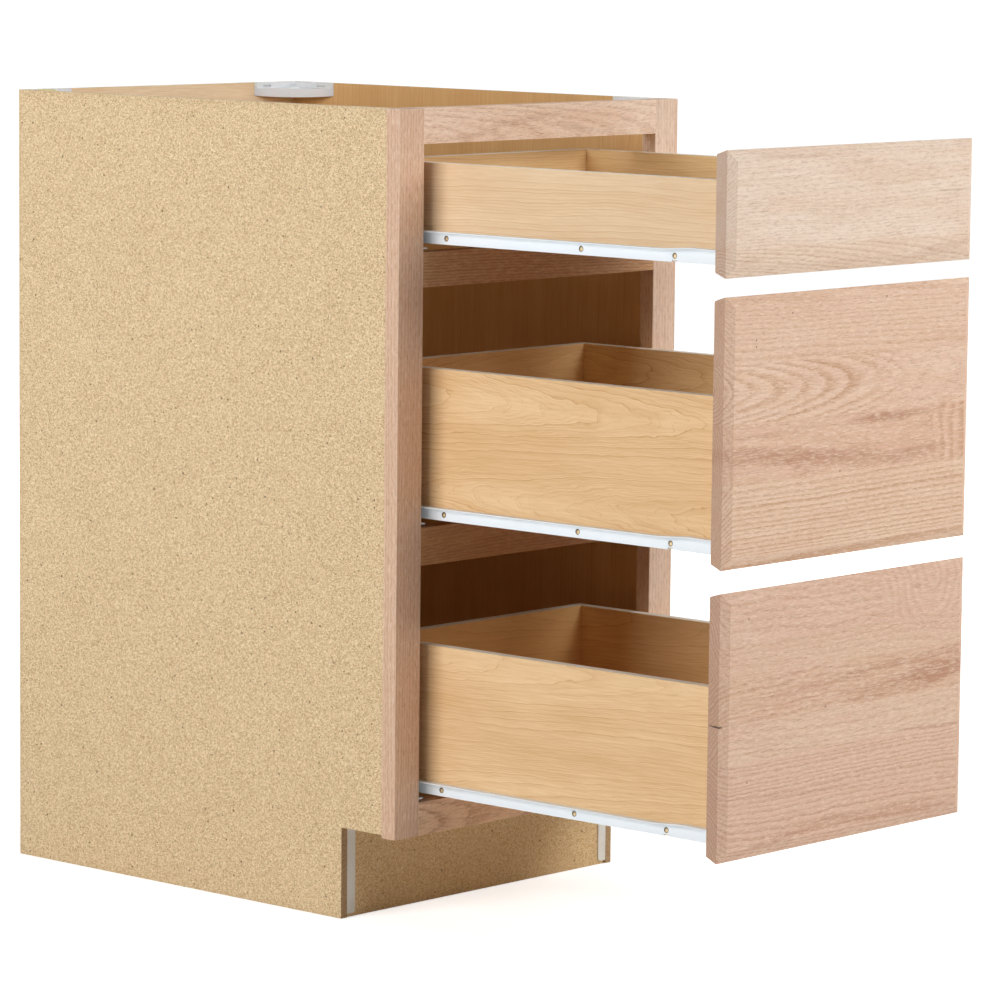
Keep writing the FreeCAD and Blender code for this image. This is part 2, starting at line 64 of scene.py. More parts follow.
def linear(red: float, green: float, blue: float) -> Tuple[float, float, float, float]:
    """Turn a colour as a screen shows it, 0 to 255, into a linear one.

    Args:
        red: Red, 0 to 255.
        green: Green, 0 to 255.
        blue: Blue, 0 to 255.

    Returns:
        Linear red, green, blue and an alpha of 1.
    """

    def one(value: float) -> float:
        """One channel, 0 to 255, made linear."""
        part = value / 255.0
        return part / 12.92 if part <= 0.04045 else ((part + 0.055) / 1.055) ** 2.4

    return one(red), one(green), one(blue), 1.0


# Shader wiring


class Sheet:
    """A node tree with short ways to add and join the nodes that the finishes need."""

    def __init__(self, tree: bpy.types.NodeTree) -> None:
        """Start on an empty tree."""
        self.tree = tree
        tree.nodes.clear()

    def join(self, value: Any, target: Socket) -> None:
        """Link a socket to another, or set a plain value on it.

        Args:
            value: A socket, a number, a vector or a colour.
            target: The input to feed.
        """
        if isinstance(value, bpy.types.NodeSocket):
            self.tree.links.new(value, target)
        elif isinstance(value, (tuple, list)) and len(value) == 3 and target.type == "RGBA":
            target.default_value = (*value, 1.0)
        else:
            target.default_value = value

    def add(
        self, kind: str, inputs: Optional[Dict[Any, Any]] = None, **settings: Any
    ) -> bpy.types.Node:
        """Add a node.

        Args:
            kind: The node's type name, without its ShaderNode prefix.
            inputs: Values or sockets by input name or number.
            settings: Properties of the node.

        Returns:
            The new node.
        """
        node = self.tree.nodes.new("ShaderNode" + kind)
        for key, value in settings.items():
            setattr(node, key, value)
        for key, value in (inputs or {}).items():
            self.join(value, node.inputs[key])
        return node

    def math(self, operation: str, *values: Any, clamp: bool = False) -> Socket:
        """The result of a Math node on up to three values."""
        node = self.add("Math", dict(enumerate(values)), operation=operation, use_clamp=clamp)
        return node.outputs[0]

    def plus(self, first: Any, second: Any, clamp: bool = False) -> Socket:
        """The sum of two numbers."""
        return self.math("ADD", first, second, clamp=clamp)

    def minus(self, first: Any, second: Any, clamp: bool = False) -> Socket:
        """The first number less the second."""
        return self.math("SUBTRACT", first, second, clamp=clamp)

    def times(self, first: Any, second: Any) -> Socket:
        """The product of two numbers."""
        return self.math("MULTIPLY", first, second)

    def over(self, first: Any, second: Any) -> Socket:
        """The first number divided by the second."""
        return self.math("DIVIDE", first, second)

    def scaled(self, value: Any, factor: Any, added: Any, clamp: bool = False) -> Socket:
        """A number times a factor, plus another."""
        return self.math("MULTIPLY_ADD", value, factor, added, clamp=clamp)

    def vector(self, operation: str, *values: Any) -> Socket:
        """The result of a Vector Math node on up to three vectors."""
        node = self.add("VectorMath", dict(enumerate(values)), operation=operation)
        return node.outputs["Value" if operation in ("LENGTH", "DOT_PRODUCT") else "Vector"]

    def split(self, vector: Any) -> Tuple[Socket, Socket, Socket]:
        """The three numbers of a vector."""
        node = self.add("SeparateXYZ", {0: vector})
        return node.outputs[0], node.outputs[1], node.outputs[2]

    def pack(self, x: Any, y: Any, z: Any) -> Socket:
        """A vector of three numbers."""
        return self.add("CombineXYZ", {0: x, 1: y, 2: z}).outputs[0]

    def stretch(self, vector: Any, scale: Sequence[float], shift: Any = ZERO) -> Socket:
        """A vector scaled along each axis, then moved."""
        return self.vector("MULTIPLY_ADD", vector, scale, shift)

    def noise(self, vector: Any, detail: float = 2.0, rough: float = 0.5) -> Socket:
        """Smooth noise of scale 1 at a vector, 0 to 1."""
        inputs = {"Vector": vector, "Scale": 1.0, "Detail": detail, "Roughness": rough}
        return self.add("TexNoise", inputs).outputs["Fac"]

    def sway(self, vector: Any, detail: float) -> Socket:
        """Three smooth noises of scale 1, each -0.5 to 0.5, as a vector."""
        node = self.add("TexNoise", {"Vector": vector, "Scale": 1.0, "Detail": detail})
        return self.vector("SUBTRACT", node.outputs["Color"], (0.5, 0.5, 0.5))

    def cells(self, vector: Any, scale: float) -> Tuple[Socket, Socket]:
        """Voronoi cells: the distance to a cell's point and the cell's random colour."""
        node = self.add("TexVoronoi", {"Vector": vector, "Scale": scale})
        return node.outputs["Distance"], node.outputs["Color"]

    def band(
        self, value: Any, low: float, high: float, to_low: float = 0.0, to_high: float = 1.0
    ) -> Socket:
        """A value eased from one range to another, with its ends held."""
        inputs = {"Value": value, 1: low, 2: high, 3: to_low, 4: to_high}
        return self.add("MapRange", inputs, interpolation_type="SMOOTHSTEP").outputs[0]

    def mix(self, share: Any, first: Any, second: Any) -> Socket:
        """Two colours mixed by a share."""
        return self.add("Mix", {0: share, 6: first, 7: second}, data_type="RGBA").outputs[2]

    def steps(self, value: Any, stops: Sequence[Tuple[float, Sequence[float]]]) -> bpy.types.Node:
        """A colour ramp with hard steps.

        Args:
            value: Where to read the ramp, 0 to 1.
            stops: The place where each step starts and its four numbers.

        Returns:
            The ramp node, with Color and Alpha outputs.
        """
        node = self.add("ValToRGB", {0: value})
        ramp = node.color_ramp
        ramp.interpolation = "CONSTANT"
        while len(ramp.elements) < len(stops):
            ramp.elements.new(1.0)
        for element, (place, colour) in zip(ramp.elements, stops):
            element.position = place
            element.color = tuple(colour)
        return node

    def use(self, group: bpy.types.NodeTree, **inputs: Any) -> bpy.types.Node:
        """Place a node group and feed its inputs; an underscore in a name stands for a space."""
        node = self.tree.nodes.new("ShaderNodeGroup")
        node.node_tree = group
        for key, value in inputs.items():
            self.join(value, node.inputs[key.replace("_", " ")])
        return node

    def surface(
        self, shader: bpy.types.Node, colour: Any, rough: Any, height: Any, strength: float
    ) -> None:
        """Feed a Principled shader.

        Args:
            shader: The shader.
            colour: Its base colour.
            rough: Its roughness.
            height: The height of its bumps.
            strength: How strongly they show.
        """
        self.join(colour, shader.inputs["Base Color"])
        self.join(rough, shader.inputs["Roughness"])
        inputs = {"Strength": strength, "Distance": BUMP_DEPTH, "Height": height}
        self.join(self.add("Bump", inputs).outputs[0], shader.inputs["Normal"])


def shader_group(
    name: str,
    inputs: Sequence[Tuple[str, str, Any]],
    outputs: Sequence[str],
    wire: Callable[[Sheet, Dict[str, Socket]], Dict[str, Any]],
) -> bpy.types.NodeTree:
    """Build a shader node group.

    Args:
        name: The group's name.
        inputs: Name, kind (Float, Vector or Color) and default of each input.
        outputs: The name of each output, a number.
        wire: Adds the nodes and returns a value for each output.

    Returns:
        The node group.
    """
    tree = bpy.data.node_groups.new(name, "ShaderNodeTree")
    sheet = Sheet(tree)
    for label, kind, default in inputs:
        kind = "NodeSocket" + kind
        item = tree.interface.new_socket(name=label, in_out="INPUT", socket_type=kind)
        item.default_value = default
    for label in outputs:
        tree.interface.new_socket(name=label, in_out="OUTPUT", socket_type="NodeSocketFloat")
    entry = tree.nodes.new("NodeGroupInput")
    leave = tree.nodes.new("NodeGroupOutput")
    results = wire(sheet, {label: entry.outputs[label] for label, _, _ in inputs})
    for label, value in results.items():
        sheet.join(value, leave.inputs[label])
    return tree


def numbers(**defaults: float) -> List[Tuple[str, str, float]]:
    """Group inputs that are plain numbers, from their names and defaults."""
    return [(name, "Float", value) for name, value in defaults.items()]


class Effects:
    """The node groups that several finishes share, each built once."""

    def __init__(self) -> None:
        """Build every group."""
        grain = ("Grain", "Vector", ZERO)
        centre = ("Centre", "Vector", ZERO)
        position = ("Position", "Vector", ZERO)
        pith = ("Pith", "Vector", ZERO)
        self.rings = shader_group(
            "wood_rings",
            [grain, pith, *numbers(Lean=0.0, Spacing=0.003, Wobble=0.001, Seed=0.0)],
            ["Early", "Year"],
            self._wire_rings,
        )
        self.pores = shader_group(
            "oak_pores",
            [grain, *numbers(Early=0.5, Seed=0.0)],
            ["Pores", "Flow", "Fleck"],
            self._wire_pores,
        )
        self.knot = shader_group(
            "oak_knot",
            [grain, centre, *numbers(Squash=1.0, Radius=0.05, Spacing=0.008, Seed=0.0)],
            ["Mask", "Early"],
            self._wire_knot,
        )
        self.streak = shader_group(
            "oak_streak",
            [grain, centre, *numbers(Length=0.1, Height=0.01, Slope=0.0, Seed=0.0)],
            ["Mask"],
            self._wire_streak,
        )
        self.maple = shader_group(
            "maple_print",
            [grain, *numbers(Lines=150.0, Middle=0.0, Half=0.05, Reach=12.0, Ragged=1.0, Seed=0.0)],
            ["Line", "Shade", "Fibre", "Cloud"],
            self._wire_maple,
        )
        self.chips = shader_group(
            "pressed_chips",
            [position, *numbers(Seed=0.0)],
            ["Tone", "Chip", "Speck", "Height"],
            self._wire_chips,
        )
        self.edges = shader_group(
            "board_edges",
            [position, centre, ("Half", "Vector", ZERO), *numbers(Width=0.001)],
            ["Edge", "Near"],
            self._wire_edges,
        )

    @staticmethod
    def _wire_rings(s: Sheet, i: Dict[str, Socket]) -> Dict[str, Any]:
        """Year rings round a leaning pith line, with the grain along X and the depth along Y."""
        seed = s.pack(i["Seed"], s.times(i["Seed"], 1.7), s.times(i["Seed"], 2.3))
        along, deep, high = s.split(i["Grain"])
        _, pith_deep, pith_high = s.split(i["Pith"])
        dy = s.minus(deep, s.plus(pith_deep, s.times(along, i["Lean"])))
        dz = s.minus(high, pith_high)
        radius = s.math("SQRT", s.plus(s.times(dy, dy), s.times(dz, dz)))
        slow = s.minus(s.noise(s.stretch(i["Grain"], (3.2, 12.0, 12.0), seed), 1.0), 0.5)
        wave = s.minus(s.noise(s.stretch(i["Grain"], (22.0, 55.0, 55.0), seed), 2.0), 0.5)
        fray = s.minus(s.noise(s.stretch(i["Grain"], (150.0, 620.0, 620.0), seed), 2.0, 0.6), 0.5)
        push = s.scaled(slow, 3.6, s.times(wave, 1.1))
        radius = s.scaled(push, i["Wobble"], radius)
        phase = s.over(radius, i["Spacing"])
        phase = s.scaled(fray, 0.55, phase)
        uneven = s.noise(s.pack(s.times(phase, 0.37), i["Seed"], 0.0), 1.0)
        phase = s.scaled(uneven, 1.5, phase)
        part = s.math("FRACT", phase)
        number = s.plus(s.math("FLOOR", phase), i["Seed"])
        year = s.add("TexWhiteNoise", {"W": number}, noise_dimensions="1D")
        early = s.times(s.band(part, 0.0, 0.16), s.band(part, 0.20, 0.74, 1.0, 0.0))
        return {"Early": early, "Year": year.outputs["Value"]}

    @staticmethod
    def _wire_pores(s: Sheet, i: Dict[str, Socket]) -> Dict[str, Any]:
        """Long open pores, thickest in the early wood, with soft streaks and pale flecks."""
        seed = s.pack(s.times(i["Seed"], 2.1), i["Seed"], s.times(i["Seed"], 1.9))
        long_ = s.noise(s.stretch(i["Grain"], (95.0, 820.0, 820.0), seed), 3.0, 0.7)
        short = s.noise(s.stretch(i["Grain"], (260.0, 1500.0, 1500.0), seed), 2.0, 0.6)
        rich = s.scaled(i["Early"], 0.35, 0.65)
        pores = s.times(s.band(long_, 0.46, 0.72), rich)
        pores = s.scaled(s.band(short, 0.50, 0.72), 0.40, pores, clamp=True)
        flow = s.noise(s.stretch(i["Grain"], (9.0, 150.0, 150.0), seed), 4.0, 0.65)
        fleck = s.noise(s.stretch(i["Grain"], (85.0, 420.0, 560.0), seed), 3.0, 0.7)
        return {"Pores": pores, "Flow": flow, "Fleck": s.band(fleck, 0.46, 0.66)}

    @staticmethod
    def _wire_knot(s: Sheet, i: Dict[str, Socket]) -> Dict[str, Any]:
        """Grain that swirls round a small knot: its reach and its rings."""
        seed = s.pack(i["Seed"], i["Seed"], i["Seed"])
        bend = s.sway(s.stretch(i["Grain"], (26.0, 26.0, 26.0), seed), 1.0)
        bent = s.stretch(bend, (0.02, 0.0, 0.016), i["Grain"])
        away = s.vector("SUBTRACT", bent, i["Centre"])
        x, _, z = s.split(away)
        z = s.times(z, i["Squash"])
        far = s.math("SQRT", s.plus(s.times(x, x), s.times(z, z)))
        part = s.math("FRACT", s.over(far, i["Spacing"]))
        early = s.times(s.band(part, 0.0, 0.25), s.band(part, 0.3, 0.85, 1.0, 0.0))
        reach = s.over(far, i["Radius"])
        return {"Mask": s.band(reach, 0.62, 1.0, 1.0, 0.0), "Early": early}

    @staticmethod
    def _wire_streak(s: Sheet, i: Dict[str, Socket]) -> Dict[str, Any]:
        """A long patch of darker wood that fades out along the grain."""
        seed = s.pack(i["Seed"], i["Seed"], i["Seed"])
        x, _, z = s.split(s.vector("SUBTRACT", i["Grain"], i["Centre"]))
        ripple = s.noise(s.stretch(i["Grain"], (16.0, 40.0, 70.0), seed), 3.0, 0.6)
        z = s.minus(z, s.times(x, i["Slope"]))
        z = s.plus(z, s.times(s.minus(ripple, 0.5), s.times(i["Height"], 2.2)))
        u, v = s.over(x, i["Length"]), s.over(z, i["Height"])
        far = s.math("SQRT", s.plus(s.times(u, u), s.times(v, v)))
        lines = s.noise(s.stretch(i["Grain"], (14.0, 260.0, 420.0), seed), 3.0, 0.7)
        near = s.band(far, 0.30, 1.12, 1.0, 0.0)
        return {"Mask": s.times(near, s.band(lines, 0.30, 0.62, 0.45, 1.0))}

    @staticmethod
    def _wire_maple(s: Sheet, i: Dict[str, Socket]) -> Dict[str, Any]:
        """Printed maple grain along X: straight lines in the middle, arches above and below."""
        seed = s.pack(i["Seed"], s.times(i["Seed"], 1.3), s.times(i["Seed"], 0.7))
        slow = s.sway(s.stretch(i["Grain"], (5.0, 16.0, 16.0), seed), 1.0)
        jag = s.sway(s.stretch(i["Grain"], (26.0, 80.0, 80.0), seed), 2.5)
        rag = s.vector("SCALE", s.vector("MULTIPLY", jag, (0.075, 0.007, 0.0)))
        s.join(i["Ragged"], rag.node.inputs["Scale"])
        moved = s.vector("ADD", s.vector("MULTIPLY_ADD", slow, (0.06, 0.014, 0.0), i["Grain"]), rag)
        along, across, _ = s.split(moved)
        angle = s.over(s.times(s.minus(across, i["Middle"]), math.pi / 2), i["Half"])
        swing = s.times(s.times(i["Lines"], i["Half"]), 2 / math.pi)
        height = s.minus(s.times(along, i["Reach"]), s.times(swing, s.math("SINE", angle)))
        up = s.times(i["Lines"], s.math("COSINE", angle))
        steep = s.plus(s.times(up, up), s.times(i["Reach"], i["Reach"]))
        steep = s.math("SQRT", steep)
        away = s.over(s.math("FRACT", height), steep)
        double = s.scaled(height, 2.6, 0.37)
        between = s.over(s.math("FRACT", double), s.times(steep, 2.6))
        number = s.plus(s.math("FLOOR", height), i["Seed"])
        strength = s.add("TexWhiteNoise", {"W": number}, noise_dimensions="1D").outputs["Value"]
        strength = s.scaled(strength, 0.75, 0.25)
        line = s.times(s.band(away, 0.0001, 0.0012, 1.0, 0.0), strength)
        patch = s.noise(s.stretch(i["Grain"], (7.0, 20.0, 20.0), seed), 1.0)
        minor = s.band(between, 0.0001, 0.0012, 1.0, 0.0)
        minor = s.times(minor, s.band(patch, 0.34, 0.58, 0.10, 0.50))
        line = s.math("MAXIMUM", line, minor)
        shade = s.times(s.band(away, 0.0, 0.010, 1.0, 0.0), strength)
        fibre = s.noise(s.stretch(i["Grain"], (22.0, 420.0, 420.0), seed), 3.0, 0.7)
        cloud = s.noise(s.stretch(i["Grain"], (5.0, 30.0, 30.0), seed), 2.0)
        return {"Line": line, "Shade": shade, "Fibre": fibre, "Cloud": cloud}

    @staticmethod
    def _wire_chips(s: Sheet, i: Dict[str, Socket]) -> Dict[str, Any]:
        """Small wood chips pressed into a board, and a few dark specks of bark."""
        seed = s.pack(i["Seed"], i["Seed"], i["Seed"])
        bend = s.sway(s.stretch(i["Position"], (420.0,) * 3, seed), 1.0)
        place = s.vector("MULTIPLY_ADD", bend, (0.0016,) * 3, i["Position"])
        near, tint = s.cells(s.stretch(place, (1.0, 1.0, 1.35), seed), 680.0)
        grain_near, grain_tint = s.cells(s.stretch(place, (1.3, 1.0, 0.8), seed), 1300.0)
        one = s.split(tint)[0]
        two = s.split(grain_tint)[1]
        tone = s.scaled(one, 0.62, s.times(two, 0.38))
        chip = s.band(s.split(tint)[2], 0.80, 0.92)
        dot, dot_tint = s.cells(s.vector("ADD", place, seed), 85.0)
        kept = s.band(s.split(dot_tint)[0], 0.70, 0.72)
        size = s.scaled(s.split(dot_tint)[1], 0.060, 0.035)
        speck = s.times(kept, s.band(s.minus(dot, size), 0.0, 0.02, 1.0, 0.0))
        wide = s.noise(s.stretch(i["Position"], (9.0,) * 3, seed), 3.0)
        tone = s.plus(tone, s.times(s.minus(wide, 0.5), 0.12), clamp=True)
        height = s.scaled(s.minus(1.0, near), 0.6, s.times(grain_near, 0.4))
        return {"Tone": tone, "Chip": chip, "Speck": speck, "Height": height}

    @staticmethod
    def _wire_edges(s: Sheet, i: Dict[str, Socket]) -> Dict[str, Any]:
        """How near a point on a board is to one of its edges: a thin mask and a wide one."""
        away = s.vector("ABSOLUTE", s.vector("SUBTRACT", i["Position"], i["Centre"]))
        a, b, c = s.split(s.vector("SUBTRACT", i["Half"], away))
        low, high = s.math("MINIMUM", a, b), s.math("MAXIMUM", a, b)
        middle = s.math("MAXIMUM", low, s.math("MINIMUM", high, c))
        rough = s.noise(s.stretch(i["Position"], (260.0,) * 3), 2.0)
        middle = s.scaled(s.minus(rough, 0.5), s.times(i["Width"], 1.6), middle)
        edge = s.minus(1.0, s.over(middle, i["Width"]), clamp=True)
        near = s.minus(1.0, s.over(middle, s.times(i["Width"], 6.0)), clamp=True)
        return {"Edge": edge, "Near": near}


def new_material(name: str) -> Tuple[bpy.types.Material, Sheet, bpy.types.Node]:
    """Start a material.

    Args:
        name: The material's name.

    Returns:
        The material, its sheet, and its Principled shader joined to the output.
    """
    material = bpy.data.materials.new(name)
    material.use_nodes = True
    sheet = Sheet(material.node_tree)
    shader = sheet.add("BsdfPrincipled")
    leave = sheet.add("OutputMaterial")
    sheet.join(shader.outputs[0], leave.inputs[0])
    return material, sheet, shader


def centre_and_half(node: str) -> Tuple[Tuple[float, ...], Tuple[float, ...]]:
    """The centre and the half size of a CAD node's box."""
    low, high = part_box(node)
    return tuple((low + high) / 2), tuple((high - low) / 2)


def along_grain(sheet: Sheet, position: Socket, axis: Axis, depth: Axis = Axis.Y) -> Socket:
    """A position with its grain turned to run along X and its depth along Y.

    Args:
        sheet: The sheet to wire in.
        position: A point in object space.
        axis: The way the grain runs.
        depth: The way the board's thickness runs.

    Returns:
        Grain, depth and the remaining direction as a vector.
    """
    parts = dict(zip(Axis, sheet.split(position)))
    rest = next(a for a in Axis if a not in (axis, depth))
    return sheet.pack(parts[axis], parts[depth], parts[rest])


# Finishes


# The widest span of each of a strip's numbers, as its colour ramps hold 0 to 1
DEPTH_SPAN = 0.4
HEIGHT_SPAN = 0.8
LEAN_SPAN = 0.4
RING_SPAN = 0.01
MOST_STRIPS = 10.0
SEED_SPAN = 17.0


@dataclass(frozen=True)
class Board:
    """One strip of oak: its start, its pith's place from its front low corner, and its looks."""

    start: float
    pith_depth: float = 0.06
    pith_height: float = 0.0
    lean: float = 0.02
    spacing: float = 0.0032
    tone: float = 0.3
    pink: float = 0.3
    rings: float = 0.5
    wobble: float = 0.0015
    fade: float = 0.0


@dataclass(frozen=True)
class Streak:
    """A long patch of darker heartwood on a front, placed by its middle."""

    x: float
    z: float
    length: float
    height: float
    slope: float = 0.0
    strength: float = 0.5


@dataclass(frozen=True)
class Knot:
    """A swirl of grain round a small knot, kept between two heights."""

    x: float
    z: float
    radius: float
    spacing: float
    low: float
    high: float
    squash: float = 1.0
    strength: float = 0.4


@dataclass(frozen=True)
class Oak:
    """Unfinished red oak, as one board or as strips glued edge to edge."""

    name: str
    grain: Axis
    boards: Tuple[Board, ...]
    streaks: Tuple[Streak, ...] = ()
    knots: Tuple[Knot, ...] = ()
    dots: Tuple[Tuple[float, float], ...] = ()
    pale: Colour = (240, 217, 196)
    tan: Colour = (220, 185, 152)
    rose: Colour = (220, 178, 155)
    band: Colour = (198, 150, 114)
    pore: Colour = (158, 110, 84)
    heartwood: Colour = (176, 124, 96)
    seed: float = 1.0
    pore_strength: float = 0.44
    crack_at: Optional[float] = None

    def material(self, effects: Effects, node: str) -> bpy.types.Material:
        """Wire the finish for one CAD node.

        Args:
            effects: The shared node groups.
            node: The CAD node that wears it.

        Returns:
            The material.
        """
        material, s, shader = new_material(self.name)
        coords = s.add("TexCoord")
        position = coords.outputs["Object"]
        centre, half = centre_and_half(node)
        origin = self._origin(centre, half)
        local = s.vector("SUBTRACT", along_grain(s, position, self.grain), origin)
        width = 2 * (half[2] if self.grain is Axis.X else half[0])
        across = s.over(s.split(local)[2], width)
        look = self._board_numbers(s, across, width)
        seed = s.plus(look["seed"], self.seed)
        rings = s.use(
            effects.rings,
            Grain=local,
            Pith=s.pack(0.0, look["depth"], look["height"]),
            Lean=look["lean"],
            Spacing=look["spacing"],
            Wobble=look["wobble"],
            Seed=seed,
        )
        early, curl = rings.outputs["Early"], None
        for number, knot in enumerate(self.knots):
            early, curl = self._swirl(s, effects, early, curl, local, origin, knot, number)
        pores = s.use(effects.pores, Grain=local, Early=early, Seed=seed)
        shift = s.pack(seed, seed, seed)
        base = s.mix(look["tone"], linear(*self.pale), linear(*self.tan))
        base = s.mix(s.times(look["pink"], 0.8), base, linear(*self.rose))
        cloud = s.noise(s.stretch(local, (6.0, 26.0, 34.0), shift), 3.0, 0.6)
        colour = s.mix(s.band(cloud, 0.36, 0.68, 0.0, 0.46), base, linear(*self.rose))
        flow = s.band(pores.outputs["Flow"], 0.38, 0.68, 0.0, 0.34)
        colour = s.mix(flow, colour, linear(*self.tan))
        normal = s.split(coords.outputs["Normal"])
        facing = s.math("ABSOLUTE", normal[0 if self.grain is Axis.X else 2])
        end = s.band(facing, 0.20, 0.85)
        share = s.times(look["rings"], s.scaled(rings.outputs["Year"], 0.45, 0.45))
        gone = s.times(look["fade"], s.band(s.split(local)[0], 0.0, 0.10))
        share = s.times(share, s.minus(1.0, s.math("MAXIMUM", gone, s.times(end, 0.3))))
        colour = s.mix(s.times(early, share), colour, linear(*self.band))
        if curl is not None:
            colour = s.mix(curl, colour, linear(*self.band))
        for number, streak in enumerate(self.streaks):
            mask = self._stain(s, effects, local, origin, streak, number)
            colour = s.mix(mask, colour, linear(*self.heartwood))
        colour = s.mix(s.times(pores.outputs["Fleck"], 0.50), colour, linear(*self.pale))
        open_ = s.times(pores.outputs["Pores"], self.pore_strength)
        colour = s.mix(open_, colour, linear(*self.pore))
        cut = s.times(s.scaled(early, 0.13, 0.40), end)
        colour = s.mix(cut, colour, linear(146, 104, 82))
        hole = self._holes(s, local, origin)
        if hole is not None:
            colour = s.mix(s.times(hole, 0.8), colour, linear(92, 58, 42))
        # Painted highlight: pale lines along the board's edges.
        edges = s.use(effects.edges, Position=position, Centre=centre, Half=half, Width=0.0011)
        colour = s.mix(s.times(edges.outputs["Edge"], 0.30), colour, linear(*self.pale))
        if self.crack_at is not None:
            colour = self._crack(s, position, colour, centre[0] - half[0])
        rough = s.scaled(pores.outputs["Flow"], 0.14, 0.58)
        rough = s.scaled(pores.outputs["Pores"], 0.14, rough, clamp=True)
        height = s.scaled(pores.outputs["Pores"], -0.7, s.times(early, -0.25))
        if hole is not None:
            height = s.scaled(hole, -2.0, height)
        s.surface(shader, colour, rough, height, 0.4)
        shader.inputs["Specular IOR Level"].default_value = 0.28
        return material

    def _origin(self, centre: Sequence[float], half: Sequence[float]) -> Tuple[float, float, float]:
        """The point that pith places count from: mid length, front face, low side of the board."""
        front = centre[1] - half[1]
        if self.grain is Axis.X:
            return centre[0], front, centre[2] - half[2]
        return centre[2], front, centre[0] - half[0]

    def _board_numbers(self, s: Sheet, share: Socket, width: float) -> Dict[str, Socket]:
        """Hand each strip its own numbers through hard-stepped ramps.

        Args:
            s: The sheet to wire in.
            share: The place across the strips, 0 to 1.
            width: The width of all the strips together, in metres.

        Returns:
            A socket for each of the strip's numbers.
        """
        pith, look, figure = [], [], []
        for number, board in enumerate(self.boards):
            at = max(0.0, min(1.0, board.start / width))
            height, lean = board.pith_height / HEIGHT_SPAN + 0.5, board.lean / LEAN_SPAN + 0.5
            pith.append((at, (board.pith_depth / DEPTH_SPAN, height, lean, board.rings)))
            strip = (board.spacing / RING_SPAN, board.tone, board.pink, number / MOST_STRIPS)
            look.append((at, strip))
            figure.append((at, (board.wobble / RING_SPAN, board.fade, 0.0, 1.0)))
        ramps = [s.steps(share, stops) for stops in (pith, look, figure)]
        first, second, _ = ramps
        one, two, three = (s.add("SeparateColor", {0: r.outputs[0]}).outputs for r in ramps)
        return {
            "depth": s.times(one[0], DEPTH_SPAN),
            "height": s.scaled(one[1], HEIGHT_SPAN, -HEIGHT_SPAN / 2),
            "lean": s.scaled(one[2], LEAN_SPAN, -LEAN_SPAN / 2),
            "rings": first.outputs["Alpha"],
            "spacing": s.times(two[0], RING_SPAN),
            "tone": two[1],
            "pink": two[2],
            "seed": s.times(second.outputs["Alpha"], SEED_SPAN),
            "wobble": s.times(three[0], RING_SPAN),
            "fade": three[1],
        }

    def _swirl(
        self,
        s: Sheet,
        effects: Effects,
        early: Socket,
        curl: Optional[Socket],
        local: Socket,
        origin: Sequence[float],
        knot: Knot,
        number: int,
    ) -> Tuple[Socket, Socket]:
        """Clear the rings round one knot and draw its own.

        Args:
            s: The sheet to wire in.
            effects: The shared node groups.
            early: The early wood so far.
            curl: The knots' rings so far.
            local: The place on the board.
            origin: The point that the place counts from.
            knot: The knot.
            number: The knot's number, for its seed.

        Returns:
            The early wood without the knot's place, and the knots' rings.
        """
        centre = (knot.x - origin[0], 0.0, knot.z - origin[2])
        swirl = s.use(
            effects.knot,
            Grain=local,
            Centre=centre,
            Squash=knot.squash,
            Radius=knot.radius,
            Spacing=knot.spacing,
            Seed=self.seed + 3.7 * number,
        )
        high = s.split(local)[2]
        above = s.band(high, knot.low - origin[2] - 0.001, knot.low - origin[2])
        below = s.band(high, knot.high - origin[2], knot.high - origin[2] + 0.001, 1.0, 0.0)
        mask = s.times(swirl.outputs["Mask"], s.times(above, below))
        rings = s.times(s.times(swirl.outputs["Early"], mask), knot.strength)
        early = s.times(early, s.minus(1.0, mask))
        return early, rings if curl is None else s.math("MAXIMUM", rings, curl)

    def _stain(
        self,
        s: Sheet,
        effects: Effects,
        local: Socket,
        origin: Sequence[float],
        streak: Streak,
        number: int,
    ) -> Socket:
        """The strength of one streak of heartwood.

        Args:
            s: The sheet to wire in.
            effects: The shared node groups.
            local: The place on the board.
            origin: The point that the place counts from.
            streak: The streak.
            number: The streak's number, for its seed.

        Returns:
            A mask from 0 to the streak's strength.
        """
        centre = (streak.x - origin[0], 0.0, streak.z - origin[2])
        mask = s.use(
            effects.streak,
            Grain=local,
            Centre=centre,
            Length=streak.length,
            Height=streak.height,
            Slope=streak.slope,
            Seed=self.seed + 2.3 * number,
        )
        return s.times(mask.outputs["Mask"], streak.strength)

    def _holes(self, s: Sheet, local: Socket, origin: Sequence[float]) -> Optional[Socket]:
        """The mask of the pin holes that this front has, or nothing."""
        hole: Any = None
        for x, z in self.dots:
            away = s.vector("SUBTRACT", local, (x - origin[0], 0.0, z - origin[2]))
            far = s.vector("LENGTH", s.vector("MULTIPLY", away, (1.0, 0.2, 1.0)))
            dot = s.band(far, 0.0007, 0.0012, 1.0, 0.0)
            hole = dot if hole is None else s.plus(dot, hole, clamp=True)
        return hole

    def _crack(self, s: Sheet, position: Socket, colour: Socket, left: float) -> Socket:
        """Open a dark glue line on the left end.

        Args:
            s: The sheet to wire in.
            position: The place in object space.
            colour: The colour so far.
            left: The left end's place.

        Returns:
            The colour with the crack in it.
        """
        x, _, z = s.split(position)
        jag = s.noise(s.stretch(position, (300.0,) * 3), 2.0)
        line = s.math("ABSOLUTE", s.minus(s.scaled(jag, 0.0024, z), self.crack_at + 0.0012))
        inside = s.band(x, left + 0.0015, left + 0.006, 1.0, 0.0)
        crack = s.times(s.band(line, 0.0005, 0.0012, 1.0, 0.0), inside)
        return s.mix(s.times(crack, 0.9), colour, linear(52, 34, 28))


